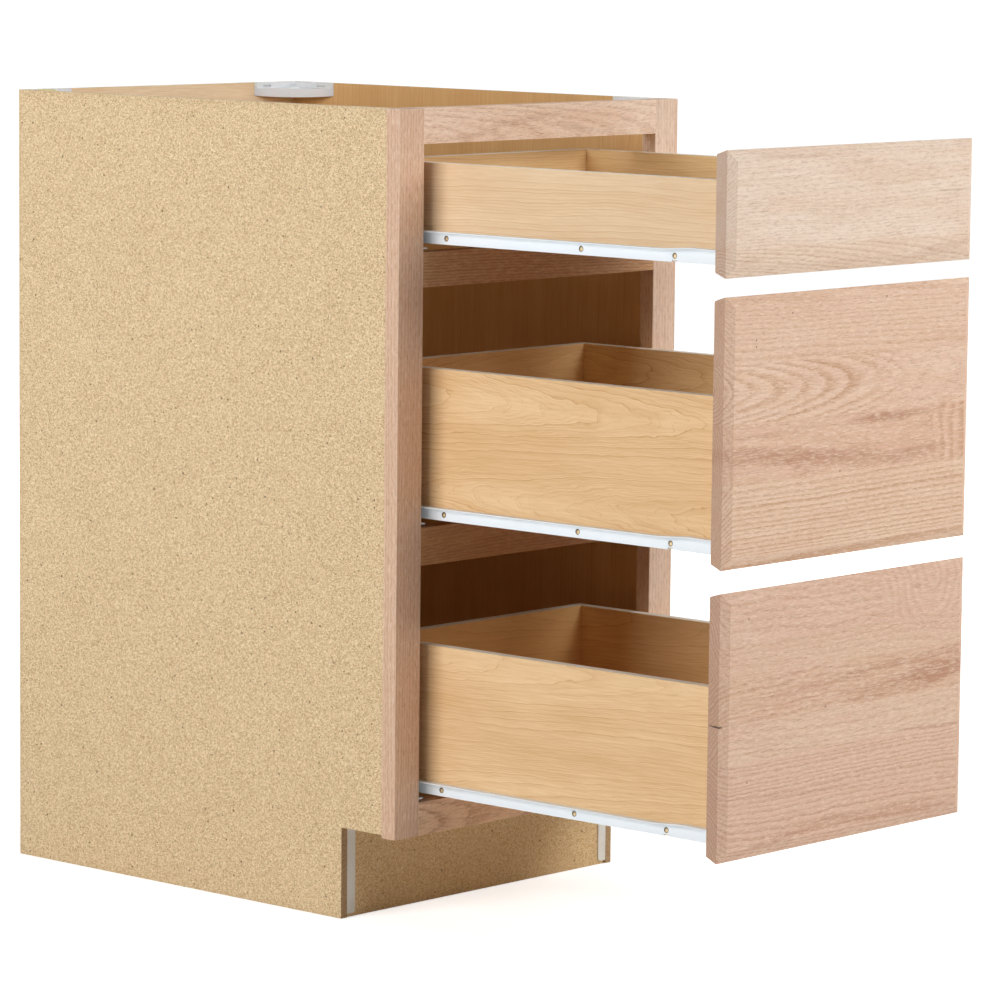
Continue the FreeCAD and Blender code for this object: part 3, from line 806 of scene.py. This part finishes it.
@dataclass(frozen=True)
class PrintedMaple:
    """Board faced with printed maple grain; a face that looks the bare way stays raw."""

    name: str
    grain: Axis
    depth: Axis
    light: Colour = (241, 206, 159)
    line: Colour = (208, 156, 96)
    ink: Colour = (188, 128, 68)
    band: Colour = (252, 246, 232)
    lines: float = 150.0
    half: float = 0.05
    reach: float = 12.0
    ragged: float = 1.0
    bold: float = 0.5
    lift: float = 0.0
    seed: float = 3.0
    bare: Optional[Tuple[float, float, float]] = None

    def material(self, effects: Effects, node: str) -> bpy.types.Material:
        """Wire the finish for one CAD node.

        Args:
            effects: The shared node groups.
            node: The CAD node that wears it.

        Returns:
            The material.
        """
        material, s, shader = new_material(self.name)
        coords = s.add("TexCoord")
        position = coords.outputs["Object"]
        centre, half = centre_and_half(node)
        parts = dict(zip(Axis, s.split(position)))
        across = next(a for a in Axis if a not in (self.grain, self.depth))
        along = s.times(parts[self.grain], -1.0)
        grain = s.pack(along, parts[across], parts[self.depth])
        middle = centre[list(Axis).index(across)] + self.lift
        figure = s.use(
            effects.maple,
            Grain=grain,
            Lines=self.lines,
            Middle=middle,
            Half=self.half,
            Reach=self.reach,
            Ragged=self.ragged,
            Seed=self.seed,
        )
        line, shade, fibre, cloud = (figure.outputs[n] for n in ("Line", "Shade", "Fibre", "Cloud"))
        colour = s.mix(s.band(cloud, 0.3, 0.75, 0.0, 0.26), linear(*self.light), linear(*self.line))
        colour = s.mix(s.band(fibre, 0.36, 0.66, 0.0, 0.26), colour, linear(*self.line))
        colour = s.mix(s.times(shade, 0.45 * self.bold), colour, linear(*self.line))
        colour = s.mix(s.times(line, self.bold), colour, linear(*self.ink))
        normals = dict(zip(Axis, s.split(coords.outputs["Normal"])))
        faced = s.band(s.math("ABSOLUTE", normals[self.depth]), 0.6, 0.8)
        worn = s.band(fibre, 0.3, 0.8, 0.0, 0.25)
        edge_colour = s.mix(worn, linear(*self.band), linear(222, 200, 168))
        height = s.times(line, -0.2)
        if self.bare is not None:
            facing = s.vector("DOT_PRODUCT", coords.outputs["Normal"], self.bare)
            outer = s.band(facing, -0.7, -0.5)
            faced = s.minus(1.0, outer)
            edge_colour, chips = raw_board(s, effects, coords, centre, half, self.seed)
            # Faces that look to the front are darkened, partly as the darker cut edge and partly as
            # painted shade.
            cut = s.band(normals[Axis.Y], -0.9, -0.3, 0.6, 0.0)
            edge_colour = s.mix(cut, edge_colour, linear(*CHIP_CUT_AND_SHADE))
            height = s.times(chips, outer)
        colour = s.mix(faced, edge_colour, colour)
        rough = s.scaled(faced, -0.28, s.scaled(fibre, 0.10, 0.68), clamp=True)
        s.surface(shader, colour, rough, height, 0.35)
        shader.inputs["Specular IOR Level"].default_value = 0.32
        return material


# Painted shade: the printed maple made darker and more saturated for the inner faces of the box.
SHADED_INSIDE: Colour = (231, 189, 131)
CHIP_LIGHT: Colour = (252, 227, 186)
CHIP_DARK: Colour = (172, 136, 90)
# Pale straw chips, and also the painted top light on faces that look up.
CHIP_STRAW_AND_TOP_LIGHT: Colour = (246, 232, 194)
CHIP_BARK: Colour = (84, 58, 34)
CHIP_RUBBED: Colour = (160, 126, 84)
# The darker cut edge, with painted shade, on faces that look to the front.
CHIP_CUT_AND_SHADE: Colour = (146, 106, 64)


def raw_board(
    s: Sheet,
    effects: Effects,
    coords: bpy.types.Node,
    centre: Sequence[float],
    half: Sequence[float],
    seed: float,
    light: Colour = CHIP_LIGHT,
    dark: Colour = CHIP_DARK,
) -> Tuple[Socket, Socket]:
    """Wire the colour of raw particleboard, with painted top light on faces that look up.

    Args:
        s: The sheet to wire in.
        effects: The shared node groups.
        coords: The Texture Coordinate node.
        centre: The middle of the board.
        half: Its half size.
        seed: Which stretch of chips it shows.
        light: The palest chips.
        dark: The darkest chips.

    Returns:
        The colour and the height of its chips.
    """
    position = coords.outputs["Object"]
    chips = s.use(effects.chips, Position=position, Seed=seed)
    colour = s.mix(chips.outputs["Tone"], linear(*dark), linear(*light))
    colour = s.mix(s.times(chips.outputs["Chip"], 0.55), colour, linear(*CHIP_STRAW_AND_TOP_LIGHT))
    colour = s.mix(s.times(chips.outputs["Speck"], 0.85), colour, linear(*CHIP_BARK))
    edges = s.use(effects.edges, Position=position, Centre=centre, Half=half, Width=0.0012)
    colour = s.mix(s.times(edges.outputs["Near"], 0.12), colour, linear(*CHIP_RUBBED))
    # Painted highlight: faces that look up are mixed towards pale straw, standing in for light from
    # above.
    up = s.split(coords.outputs["Normal"])[2]
    colour = s.mix(s.band(up, 0.3, 0.9, 0.0, 0.6), colour, linear(*CHIP_STRAW_AND_TOP_LIGHT))
    return colour, chips.outputs["Height"]


@dataclass(frozen=True)
class Particleboard:
    """Raw particleboard of fine chips on every face."""

    name: str
    seed: float = 5.0
    light: Colour = CHIP_LIGHT
    dark: Colour = CHIP_DARK

    def material(self, effects: Effects, node: str) -> bpy.types.Material:
        """Wire the finish for one CAD node.

        Args:
            effects: The shared node groups.
            node: The CAD node that wears it.

        Returns:
            The material.
        """
        material, s, shader = new_material(self.name)
        coords = s.add("TexCoord")
        centre, half = centre_and_half(node)
        shades = (self.light, self.dark)
        colour, height = raw_board(s, effects, coords, centre, half, self.seed, *shades)
        s.surface(shader, colour, s.scaled(height, -0.12, 0.86), height, 0.5)
        shader.inputs["Specular IOR Level"].default_value = 0.22
        return material


@dataclass(frozen=True)
class Coating:
    """Paint, plated metal or moulded plastic, with fine unevenness, dust and rubbed edges."""

    name: str
    colour: Colour
    dust: Colour = (196, 186, 168)
    rubbed: Colour = (150, 148, 144)
    dusty: float = 0.10
    rub: float = 0.2
    roughness: float = 0.4
    metallic: float = 0.0
    peel: float = 0.05
    brushed: Optional[Axis] = None
    soft: float = 0.0
    heads: Tuple[Tuple[float, float], ...] = ()
    shade_ring: Tuple[float, float] = (0.0016, 0.0025)
    shade_shift: Tuple[float, float] = (-0.0004, -0.0003)

    def material(self, effects: Effects, node: str) -> bpy.types.Material:
        """Wire the finish for one CAD node.

        Args:
            effects: The shared node groups.
            node: The CAD node that wears it.

        Returns:
            The material.
        """
        material, s, shader = new_material(self.name)
        position = s.add("TexCoord").outputs["Object"]
        centre, half = centre_and_half(node)
        cloud = s.noise(s.stretch(position, (38.0,) * 3), 4.0, 0.6)
        fine = s.noise(s.stretch(position, (620.0,) * 3), 2.0, 0.6)
        edges = s.use(effects.edges, Position=position, Centre=centre, Half=half, Width=0.0006)
        dust = s.band(cloud, 0.45, 0.8, 0.0, self.dusty)
        colour = s.mix(dust, linear(*self.colour), linear(*self.dust))
        speckle = s.band(fine, 0.66, 0.74, 0.0, self.dusty * 1.6)
        colour = s.mix(speckle, colour, linear(*[c * 0.8 for c in self.dust]))
        worn = s.times(edges.outputs["Edge"], s.band(cloud, 0.42, 0.6, 0.0, self.rub))
        colour = s.mix(worn, colour, linear(*self.rubbed))
        if self.heads:
            # Painted shade: a dark ring round each screw head in place of the shadow in its hole.
            colour = s.mix(self._painted_screw_shade(s, position), colour, linear(46, 36, 28))
        rough = s.band(cloud, 0.3, 0.75, self.roughness - 0.05, self.roughness + 0.12)
        shader.inputs["Metallic"].default_value = self.metallic
        height = fine
        if self.brushed is not None:
            scale = tuple(60.0 if a is self.brushed else 1800.0 for a in Axis)
            height = s.noise(s.stretch(position, scale), 2.0)
        s.surface(shader, colour, rough, height, self.peel)
        if self.soft:
            shader.inputs["Subsurface Weight"].default_value = self.soft
            shader.inputs["Subsurface Scale"].default_value = 0.004
        return material

    def _painted_screw_shade(self, s: Sheet, position: Socket) -> Socket:
        """Painted shade: a dark ring round each screw's head that stands in for the shadow of its
        hole, thicker at its upper rear.
        """
        _, y, z = s.split(position)
        shift_y, shift_z = self.shade_shift
        near: Optional[Socket] = None
        for head_y, head_z in self.heads:
            place = s.pack(0.0, s.minus(y, head_y + shift_y), s.minus(z, head_z + shift_z))
            away = s.vector("LENGTH", place)
            near = away if near is None else s.math("MINIMUM", near, away)
        return s.band(near, *self.shade_ring, 0.0, 0.92)


# Sub-assemblies


def soften(node: str, width: float, segments: int = 2) -> None:
    """Round a CAD node's sharp edges a little with modifiers, so that they catch the light.

    Args:
        node: The CAD node.
        width: The width of the rounding, in metres.
        segments: The number of faces across it.
    """
    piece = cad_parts[node]
    weld = piece.modifiers.new("weld", "WELD")
    weld.merge_threshold = 0.00001
    flat = piece.modifiers.new("flat", "DECIMATE")
    flat.decimate_type = "DISSOLVE"
    flat.angle_limit = math.radians(0.5)
    bevel = piece.modifiers.new("soft_edges", "BEVEL")
    bevel.width = width
    bevel.segments = segments
    bevel.limit_method = "ANGLE"
    bevel.angle_limit = math.radians(40)
    bevel.use_clamp_overlap = True
    bevel.harden_normals = False


def dress(node: str, finish: Any, effects: Effects) -> None:
    """Give a CAD node a finish of its own.

    Args:
        node: The CAD node.
        finish: A finish with a material method.
        effects: The shared node groups.
    """
    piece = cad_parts[node]
    piece.data.materials.clear()
    piece.data.materials.append(finish.material(effects, node))
    LOG.info("%s: %s", node, finish.name)


def coat(node: str, kind: Callable[[str], Coating], effects: Effects) -> None:
    """Give a CAD node a coating of one kind, named after the node."""
    dress(node, kind(node), effects)


@dataclass
class Box:
    """The particleboard box, its toe space and what carries the slides."""

    effects: Effects
    edge: float = 0.0004

    def build(self) -> None:
        """Dress every panel and board."""
        panel = dict(lines=290.0, half=0.30, reach=3.0, bold=0.50, light=SHADED_INSIDE)
        sides = {"side_panel_right": 1.0, "side_panel_left": -1.0}
        for number, (node, outwards) in enumerate(sides.items()):
            bare = (outwards, 0.0, 0.0)
            finish = PrintedMaple(node, Axis.Z, Axis.X, bare=bare, seed=11.0 + number, **panel)
            dress(node, finish, self.effects)
        figure = dict(lines=80.0, half=0.10, reach=6.0, bold=0.22, light=(255, 230, 194))
        back = PrintedMaple("back_panel", Axis.X, Axis.Y, bare=(0.0, 1.0, 0.0), seed=21.0, **figure)
        dress("back_panel", back, self.effects)
        figure = dict(lines=110.0, half=0.12, reach=5.0, light=SHADED_INSIDE, bare=(0.0, 0.0, -1.0))
        floor = PrintedMaple("bottom_panel", Axis.X, Axis.Z, seed=31.0, **figure)
        dress("bottom_panel", floor, self.effects)
        boards = ("rear_support_board", "toe_kick_board")
        for number, node in enumerate(boards):
            # Painted light and shade: warmer, brighter chips than the side panels, set for the toe
            # board in shade.
            board = Particleboard(node, 41.0 + number, (255, 230, 182), (200, 150, 94))
            dress(node, board, self.effects)
        figure = dict(lines=200.0, half=0.2, reach=3.0, bold=0.25, light=SHADED_INSIDE)
        cleats = PrintedMaple("cleat_wood", Axis.Y, Axis.X, seed=51.0, **figure)
        dress("slide_cleats", cleats, self.effects)
        strips = Coating("strip_plastic", (238, 234, 226), dusty=0.25, roughness=0.5, soft=0.1)
        dress("toe_kick_strips", strips, self.effects)
        for node in (*sides, "back_panel", "bottom_panel", *boards, "slide_cleats"):
            soften(node, self.edge)
        soften("toe_kick_strips", 0.0003)


def tints_of(pale: Colour, tan: Colour, rose: Colour, band: Colour) -> Dict[str, Colour]:
    """The four wood colours of an oak finish, by their field names."""
    return {"pale": pale, "tan": tan, "rose": rose, "band": band}


@dataclass
class FaceFrame:
    """The oak frame on the front of the box."""

    effects: Effects
    edge: float = 0.0006

    def build(self) -> None:
        """Dress the stiles and the rails, each as its own board."""
        stiles = {
            # The left stile's darker tone is partly the board's own, partly painted shade.
            "stile_left": Board(0.0, 0.10, 0.10, 0.010, 0.0028, 0.74, 0.40, 0.60, 0.0012),
            "stile_right": Board(0.0, 0.10, -0.06, 0.008, 0.0030, 0.04, 0.24, 0.40, 0.0010),
        }
        rails = {
            "rail_top": Board(0.0, 0.040, 0.004, 0.060, 0.0040, 0.0, 0.34, 0.42, 0.0020),
            "rail_upper_middle": Board(0.0, 0.11, -0.09, 0.02, 0.0024, 0.85, 0.10, 0.70, 0.0015),
            "rail_lower_middle": Board(0.0, 0.10, 0.11, 0.015, 0.0026, 0.85, 0.10, 0.70, 0.0015),
            "rail_bottom": Board(0.0, 0.050, 0.010, 0.05, 0.0036, 0.60, 0.30, 0.80, 0.0026),
        }
        streaks = {
            "rail_top": (
                Streak(-0.03, 0.872, 0.10, 0.006, 0.10, 0.32),
                Streak(0.06, 0.862, 0.05, 0.005, -0.15, 0.34),
                Streak(-0.12, 0.858, 0.06, 0.005, 0.06, 0.24),
            )
        }
        tints_and_shade = {
            # The two middle rails get darker, more saturated tints: painted shade under the open
            # drawers.
            "rail_upper_middle": tints_of(
                (228, 188, 148), (206, 158, 110), (204, 152, 116), (164, 112, 74)
            ),
            "rail_lower_middle": tints_of(
                (208, 164, 118), (186, 136, 84), (184, 130, 90), (158, 106, 64)
            ),
            "rail_bottom": tints_of(
                (253, 226, 196), (234, 194, 154), (232, 182, 150), (188, 132, 96)
            ),
            "rail_top": tints_of(
                (250, 229, 208), (230, 196, 162), (232, 188, 160), (208, 162, 126)
            ),
        }
        for number, (part, board) in enumerate({**stiles, **rails}.items()):
            node = f"frame_{part}"
            axis = Axis.Z if part in stiles else Axis.X
            seed = 60.0 + 3.1 * number
            looks = dict(seed=seed, pore_strength=0.54, **tints_and_shade.get(part, {}))
            oak = Oak(node, axis, (board,), streaks.get(part, ()), **looks)
            dress(node, oak, self.effects)
            soften(node, self.edge)


@dataclass
class CornerBrackets:
    """The plastic brackets in the top corners, and their staples."""

    effects: Effects

    def build(self) -> None:
        """Dress the brackets and the staples."""
        for corner in ("front_left", "front_right", "rear_left", "rear_right"):
            node = f"corner_bracket_{corner}"
            plastic = Coating(node, (232, 233, 235), dusty=0.06, roughness=0.42, soft=0.15)
            dress(node, plastic, self.effects)
            soften(node, 0.0003)
        staple = Coating("staple_wire", (196, 194, 188), roughness=0.3, metallic=1.0, peel=0.1)
        dress("bracket_staples", staple, self.effects)


@dataclass
class GlueBead:
    """A run of dried glue on the top edge of the left side panel, near the back."""

    effects: Effects
    rear: float = -0.027
    front: float = -0.062
    outer: float = -0.2250
    inner: float = -0.2163
    top: float = 0.889
    height: float = 0.0024
    sink: float = 0.0001
    bite: float = 0.0002
    lumps: float = 0.16
    lump_seed: int = 4

    def build(self) -> None:
        """Model the bead as a lumpy low mound whose base bites into the panel."""
        bpy.ops.object.select_all(action="DESELECT")
        bpy.ops.mesh.primitive_uv_sphere_add(segments=64, ring_count=32, radius=0.5, location=ZERO)
        bead = bpy.context.active_object
        bead.name = "glue_bead"
        bpy.ops.object.mode_set(mode="EDIT")
        bpy.ops.mesh.select_all(action="SELECT")
        random = dict(offset=self.lumps, uniform=0.0, normal=1.0, seed=self.lump_seed)
        bpy.ops.transform.vertex_random(**random)
        bpy.ops.mesh.vertices_smooth(factor=0.5, repeat=6)
        size = (self.inner - self.outer, self.rear - self.front, 2 * self.height)
        bpy.ops.transform.resize(value=size, center_override=ZERO)
        middle = ((self.inner + self.outer) / 2, (self.rear + self.front) / 2)
        bpy.ops.transform.translate(value=(*middle, self.top - self.sink))
        base = (0.0, 0.0, self.top - self.bite)
        up = (0.0, 0.0, 1.0)
        bpy.ops.mesh.bisect(plane_co=base, plane_no=up, clear_inner=True, use_fill=True)
        bpy.ops.mesh.select_all(action="SELECT")
        bpy.ops.mesh.normals_make_consistent(inside=False)
        bpy.ops.object.mode_set(mode="OBJECT")
        bpy.ops.object.shade_smooth_by_angle(angle=math.radians(50))
        looks = dict(dusty=0.2, rub=0.0, roughness=0.3, peel=0.15, soft=0.3)
        glue = Coating("dried_glue", (232, 210, 152), **looks)
        bead.data.materials.append(glue.material(self.effects, "side_panel_left"))
        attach(bead, "cabinet")
        LOG.info("%s: %s", bead.name, glue.name)


@dataclass
class Slides:
    """The cabinet half of the roller slides."""

    effects: Effects

    def build(self) -> None:
        """Dress the channels, the rollers, the rivets and the screws."""
        for level in ("top", "middle", "bottom"):
            for side in ("left", "right"):
                coat(f"slide_rail_{level}_{side}", epoxy, self.effects)
            coat(f"rail_rollers_{level}", nylon, self.effects)
        coat("slide_rail_screws", zinc, self.effects)
        coat("rail_roller_rivets", rivet_steel, self.effects)


def epoxy(name: str) -> Coating:
    """White epoxy on steel sheet."""
    return Coating(name, (240, 247, 252), dusty=0.05, rub=0.5, roughness=0.34, peel=0.06)


def nylon(name: str) -> Coating:
    """Off-white nylon."""
    return Coating(name, (226, 225, 218), dusty=0.15, roughness=0.48, soft=0.1)


def zinc(name: str, heads: Tuple[Tuple[float, float], ...] = ()) -> Coating:
    """Yellow zinc plating, with painted shade round the heads."""
    looks = dict(dust=(150, 116, 80), dusty=0.35, roughness=0.38, metallic=0.5, peel=0.12)
    return Coating(name, (224, 200, 158), heads=heads, **looks)


def rivet_steel(name: str) -> Coating:
    """Plain zinc on steel."""
    return Coating(name, (180, 180, 180), roughness=0.35, metallic=1.0, peel=0.1, brushed=Axis.X)


@dataclass
class DrawerUnit:
    """One drawer: its front, its box and its half of the slides."""

    effects: Effects
    level: str
    boards: Tuple[Board, ...]
    maple: Dict[str, Any]
    seed: float
    streaks: Tuple[Streak, ...] = ()
    knots: Tuple[Knot, ...] = ()
    dots: Tuple[Tuple[float, float], ...] = ()
    crack_at: Optional[float] = None
    screws: Tuple[float, ...] = (-0.62625, -0.81815, -0.94615)
    tint: Dict[str, Colour] = field(default_factory=dict)
    # Painted light and shade: the back and the right side get their own print colour, set for how
    # light falls inside the drawer.
    inner: Dict[str, Colour] = field(default_factory=dict)

    def build(self) -> None:
        """Dress the whole drawer."""
        self._front()
        self._box()
        self._hardware()

    def _front(self) -> None:
        """Dress the slab front, strip by strip."""
        node = f"drawer_{self.level}_front"
        oak = Oak(
            node,
            Axis.X,
            self.boards,
            self.streaks,
            self.knots,
            self.dots,
            seed=self.seed,
            crack_at=self.crack_at,
            **self.tint,
        )
        dress(node, oak, self.effects)
        soften(node, 0.0007)

    def _box(self) -> None:
        """Dress the sides, the back and the floor."""
        for number, part in enumerate(("side_left", "side_right", "back", "floor")):
            node = f"drawer_{self.level}_{part}"
            grain = Axis.X if part in ("back", "floor") else Axis.Y
            depth = {"back": Axis.Y, "floor": Axis.Z}.get(part, Axis.X)
            finish = PrintedMaple(node, grain, depth, seed=self.seed + 1.9 * number, **self.maple)
            # Painted light and shade: this part's own print colour.
            if part in self.inner:
                finish = replace(finish, light=self.inner[part])
            dress(node, finish, self.effects)
            soften(node, 0.0004)

    def _hardware(self) -> None:
        """Dress the runners, the rollers, the rivets and the screws."""
        name = f"drawer_{self.level}"
        for side in ("left", "right"):
            coat(f"{name}_runner_{side}", epoxy, self.effects)
        screws = f"{name}_runner_screws"
        height = centre_and_half(screws)[0][2]
        dress(screws, zinc(screws, tuple((y, height) for y in self.screws)), self.effects)
        coat(f"{name}_roller_rivets", rivet_steel, self.effects)
        coat(f"{name}_rollers", nylon, self.effects)


# Studio


@dataclass(frozen=True)
class Lamp:
    """A soft square lamp that aims at the cabinet."""

    name: str
    place: Tuple[float, float, float]
    size: float
    power: float


@dataclass
class Studio:
    """The white floor, the surrounding light, the lamps and the camera."""

    aim: Tuple[float, float, float] = (0.0, -0.5, 0.45)
    ambient: float = 0.045
    near_glow: float = 0.66
    glow_reach: Tuple[float, float] = (1.0, 3.5)
    floor_size: float = 160.0
    floor_drop: float = 0.0004
    lamps: Tuple[Lamp, ...] = (
        Lamp("left_softbox", (-3.6, 0.1, 1.6), 1.8, 92.0),
        Lamp("front_softbox", (0.5, -5.0, 2.2), 2.0, 124.0),
        Lamp("right_softbox", (4.2, -1.8, 2.6), 2.0, 78.0),
        Lamp("rear_softbox", (2.8, 2.0, 2.2), 2.0, 22.0),
    )
    camera_place: Tuple[float, float, float] = (-4.046324, -4.211046, 1.122939)
    camera_turn: Tuple[float, float, float] = (82.93088, -0.58555, -47.75347)
    lens: float = 177.54

    def build(self) -> None:
        """Set up everything that isn't part of the cabinet."""
        self._floor()
        self._world()
        for lamp in self.lamps:
            self._lamp(lamp)
        self._camera()
        bpy.context.scene.view_settings.view_transform = "Standard"

    @staticmethod
    def _seen(s: Sheet) -> Socket:
        """1 for rays that show the background: from the camera, from gloss and through glass."""
        path = s.add("LightPath")
        seen = s.math("MAXIMUM", path.outputs["Is Camera Ray"], path.outputs["Is Glossy Ray"])
        return s.math("MAXIMUM", seen, path.outputs["Is Transmission Ray"])

    def _floor(self) -> None:
        """A large pale floor that goes white away from the cabinet and keeps its shadow."""
        bpy.ops.object.select_all(action="DESELECT")
        place = (0.0, 0.0, -self.floor_drop)
        bpy.ops.mesh.primitive_plane_add(size=self.floor_size, location=place)
        floor = bpy.context.active_object
        floor.name = "studio_floor"
        material, s, shader = new_material("studio_floor")
        shader.inputs["Base Color"].default_value = (0.86, 0.86, 0.86, 1.0)
        shader.inputs["Roughness"].default_value = 0.9
        shader.inputs["Specular IOR Level"].default_value = 0.1
        position = s.add("TexCoord").outputs["Object"]
        away = s.vector("SUBTRACT", position, (self.aim[0], self.aim[1], 0.0))
        level = s.band(s.vector("LENGTH", away), *self.glow_reach, self.near_glow, 1.0)
        glow = s.add("Emission", {"Strength": s.times(self._seen(s), level)})
        both = s.add("AddShader", {0: shader.outputs[0], 1: glow.outputs[0]})
        nodes = material.node_tree.nodes
        leave = next(n for n in nodes if n.bl_idname == "ShaderNodeOutputMaterial")
        s.join(both.outputs[0], leave.inputs[0])
        floor.data.materials.append(material)

    def _world(self) -> None:
        """Even light from all round, and white where the camera sees past the floor."""
        world = bpy.data.worlds.new("studio")
        bpy.context.scene.world = world
        world.use_nodes = True
        s = Sheet(world.node_tree)
        light = s.add("Background", {"Color": (1.0, 1.0, 1.0, 1.0), "Strength": self.ambient})
        white = s.add("Background", {"Color": (1.0, 1.0, 1.0, 1.0), "Strength": 1.0})
        both = s.add("MixShader", {0: self._seen(s), 1: light.outputs[0], 2: white.outputs[0]})
        leave = s.add("OutputWorld")
        s.join(both.outputs[0], leave.inputs[0])

    def _lamp(self, lamp: Lamp) -> None:
        """Hang one soft lamp and turn it to the cabinet.

        Args:
            lamp: The lamp's place, size and power.
        """
        data = bpy.data.lights.new(lamp.name, "AREA")
        data.shape = "SQUARE"
        data.size = lamp.size
        data.energy = lamp.power
        light = bpy.data.objects.new(lamp.name, data)
        bpy.context.scene.collection.objects.link(light)
        light.location = lamp.place
        towards = [a - b for a, b in zip(self.aim, lamp.place)]
        flat = math.hypot(towards[0], towards[1])
        turn = math.atan2(-towards[0], towards[1])
        light.rotation_euler = (math.atan2(flat, -towards[2]), 0.0, turn)

    def _camera(self) -> None:
        """Put the camera where the photograph was taken from."""
        data = bpy.data.cameras.new("camera")
        data.sensor_width = 36.0
        data.lens = self.lens
        data.clip_end = 300.0
        camera = bpy.data.objects.new("camera", data)
        bpy.context.scene.collection.objects.link(camera)
        camera.location = self.camera_place
        camera.rotation_euler = tuple(math.radians(a) for a in self.camera_turn)
        bpy.context.scene.camera = camera


def drawers(effects: Effects) -> List[DrawerUnit]:
    """The three drawers, each with the strips of oak in its front, from the lowest up."""
    top = DrawerUnit(
        effects,
        "top",
        (
            Board(0.0, 0.030, -0.004, 0.09, 0.0034, 0.24, 0.06, 0.55, 0.0010),
            Board(0.029, 0.130, 0.155, 0.008, 0.0022, 0.0, 0.04, 0.22, 0.0020),
        ),
        dict(
            lines=330.0,
            half=0.09,
            reach=5.0,
            ragged=0.5,
            bold=0.44,
            light=(243, 217, 182),
            line=(214, 171, 120),
        ),
        5.0,
        streaks=(
            Streak(0.150, 0.749, 0.085, 0.007, 0.12, 0.36),
            Streak(-0.172, 0.750, 0.026, 0.007, 0.0, 0.34),
            Streak(-0.085, 0.8535, 0.060, 0.0022, 0.0, 0.30),
            Streak(0.165, 0.8095, 0.040, 0.0014, 0.0, 0.45),
        ),
        tint=tints_of((237, 219, 201), (222, 192, 162), (222, 186, 160), (196, 156, 120)),
        inner=dict(back=(247, 217, 164), side_right=(247, 217, 164)),
    )
    middle = DrawerUnit(
        effects,
        "middle",
        (
            Board(0.0, 0.240, 0.160, 0.006, 0.0022, 0.45, 0.08, 0.80, 0.0006),
            Board(0.087, 0.120, 0.100, 0.020, 0.0040, 0.42, 0.78, 0.26, 0.0020),
            Board(0.148, 0.047, 0.1826, 0.10, 0.0042, 0.26, 0.34, 0.80, 0.0007, 0.85),
            Board(0.208, 0.180, 0.159, 0.010, 0.0022, 0.28, 0.44, 0.42, 0.0014),
        ),
        dict(lines=240.0, half=0.051, reach=14.0, ragged=1.0, bold=0.62),
        9.0,
        streaks=(
            Streak(0.060, 0.5745, 0.085, 0.0072, 0.03, 0.74),
            Streak(-0.085, 0.5430, 0.185, 0.0130, -0.06, 0.66),
            Streak(0.105, 0.5330, 0.075, 0.0085, 0.05, 0.50),
            Streak(-0.120, 0.5700, 0.090, 0.0045, 0.03, 0.30),
        ),
        knots=(Knot(0.232, 0.552, 0.112, 0.0175, 0.5215, 0.5815, 0.45, 0.55),),
        dots=(
            (-0.1015, 0.6932),
            (0.0553, 0.7022),
            (-0.1600, 0.6684),
            (-0.1598, 0.6616),
            (-0.0188, 0.5231),
        ),
        tint=tints_of((240, 216, 194), (218, 182, 148), (216, 172, 148), (192, 144, 106)),
        inner=dict(back=(240, 202, 144), side_right=(251, 220, 166)),
    )
    bottom = DrawerUnit(
        effects,
        "bottom",
        (
            Board(0.0, 0.070, -0.030, 0.030, 0.0042, 0.50, 0.52, 0.60, 0.0040),
            Board(0.1015, 0.120, 0.222, 0.010, 0.0048, 0.58, 0.16, 0.26, 0.0050),
            Board(0.1424, 0.100, 0.270, 0.012, 0.0040, 0.84, 0.34, 0.40, 0.0050),
            Board(0.1898, 0.120, 0.127, 0.010, 0.0050, 0.68, 0.22, 0.26, 0.0060),
            Board(0.2249, 0.080, 0.200, 0.020, 0.0044, 0.34, 0.66, 0.34, 0.0050),
        ),
        dict(lines=240.0, half=0.075, reach=9.0, ragged=0.8, bold=0.52, light=(245, 211, 165)),
        14.0,
        streaks=(
            Streak(0.125, 0.2905, 0.170, 0.0150, 0.05, 0.56),
            Streak(0.175, 0.2960, 0.085, 0.0160, 0.05, 0.54),
            Streak(0.060, 0.3080, 0.210, 0.0060, 0.06, 0.40),
            Streak(0.060, 0.1490, 0.190, 0.0085, -0.03, 0.44),
            Streak(-0.110, 0.1440, 0.110, 0.0050, 0.10, 0.38),
            Streak(0.140, 0.2335, 0.090, 0.0018, -0.03, 0.50),
            Streak(-0.120, 0.2400, 0.080, 0.0014, -0.05, 0.30),
            Streak(-0.060, 0.1890, 0.150, 0.0030, -0.05, 0.28),
            Streak(0.119, 0.3890, 0.009, 0.0030, 0.0, 0.55),
        ),
        knots=(Knot(0.146, 0.402, 0.100, 0.0120, 0.3555, 0.4111, 0.8, 0.22),),
        dots=((-0.1646, 0.3819), (-0.1635, 0.2111), (-0.036, 0.276)),
        crack_at=0.273,
        tint=tints_of((237, 214, 192), (214, 180, 149), (216, 171, 150), (180, 132, 102)),
        inner=dict(back=(230, 188, 126), side_right=(240, 204, 150)),
    )
    return [top, middle, bottom]


def main() -> None:
    """Dress every sub-assembly in order, then set up the studio."""
    logging.basicConfig(level=logging.INFO, format="%(name)s %(message)s")
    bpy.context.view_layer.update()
    effects = Effects()
    Box(effects).build()
    FaceFrame(effects).build()
    CornerBrackets(effects).build()
    GlueBead(effects).build()
    Slides(effects).build()
    for drawer in drawers(effects):
        drawer.build()
    Studio().build()


if __name__ == "__main__":
    main()
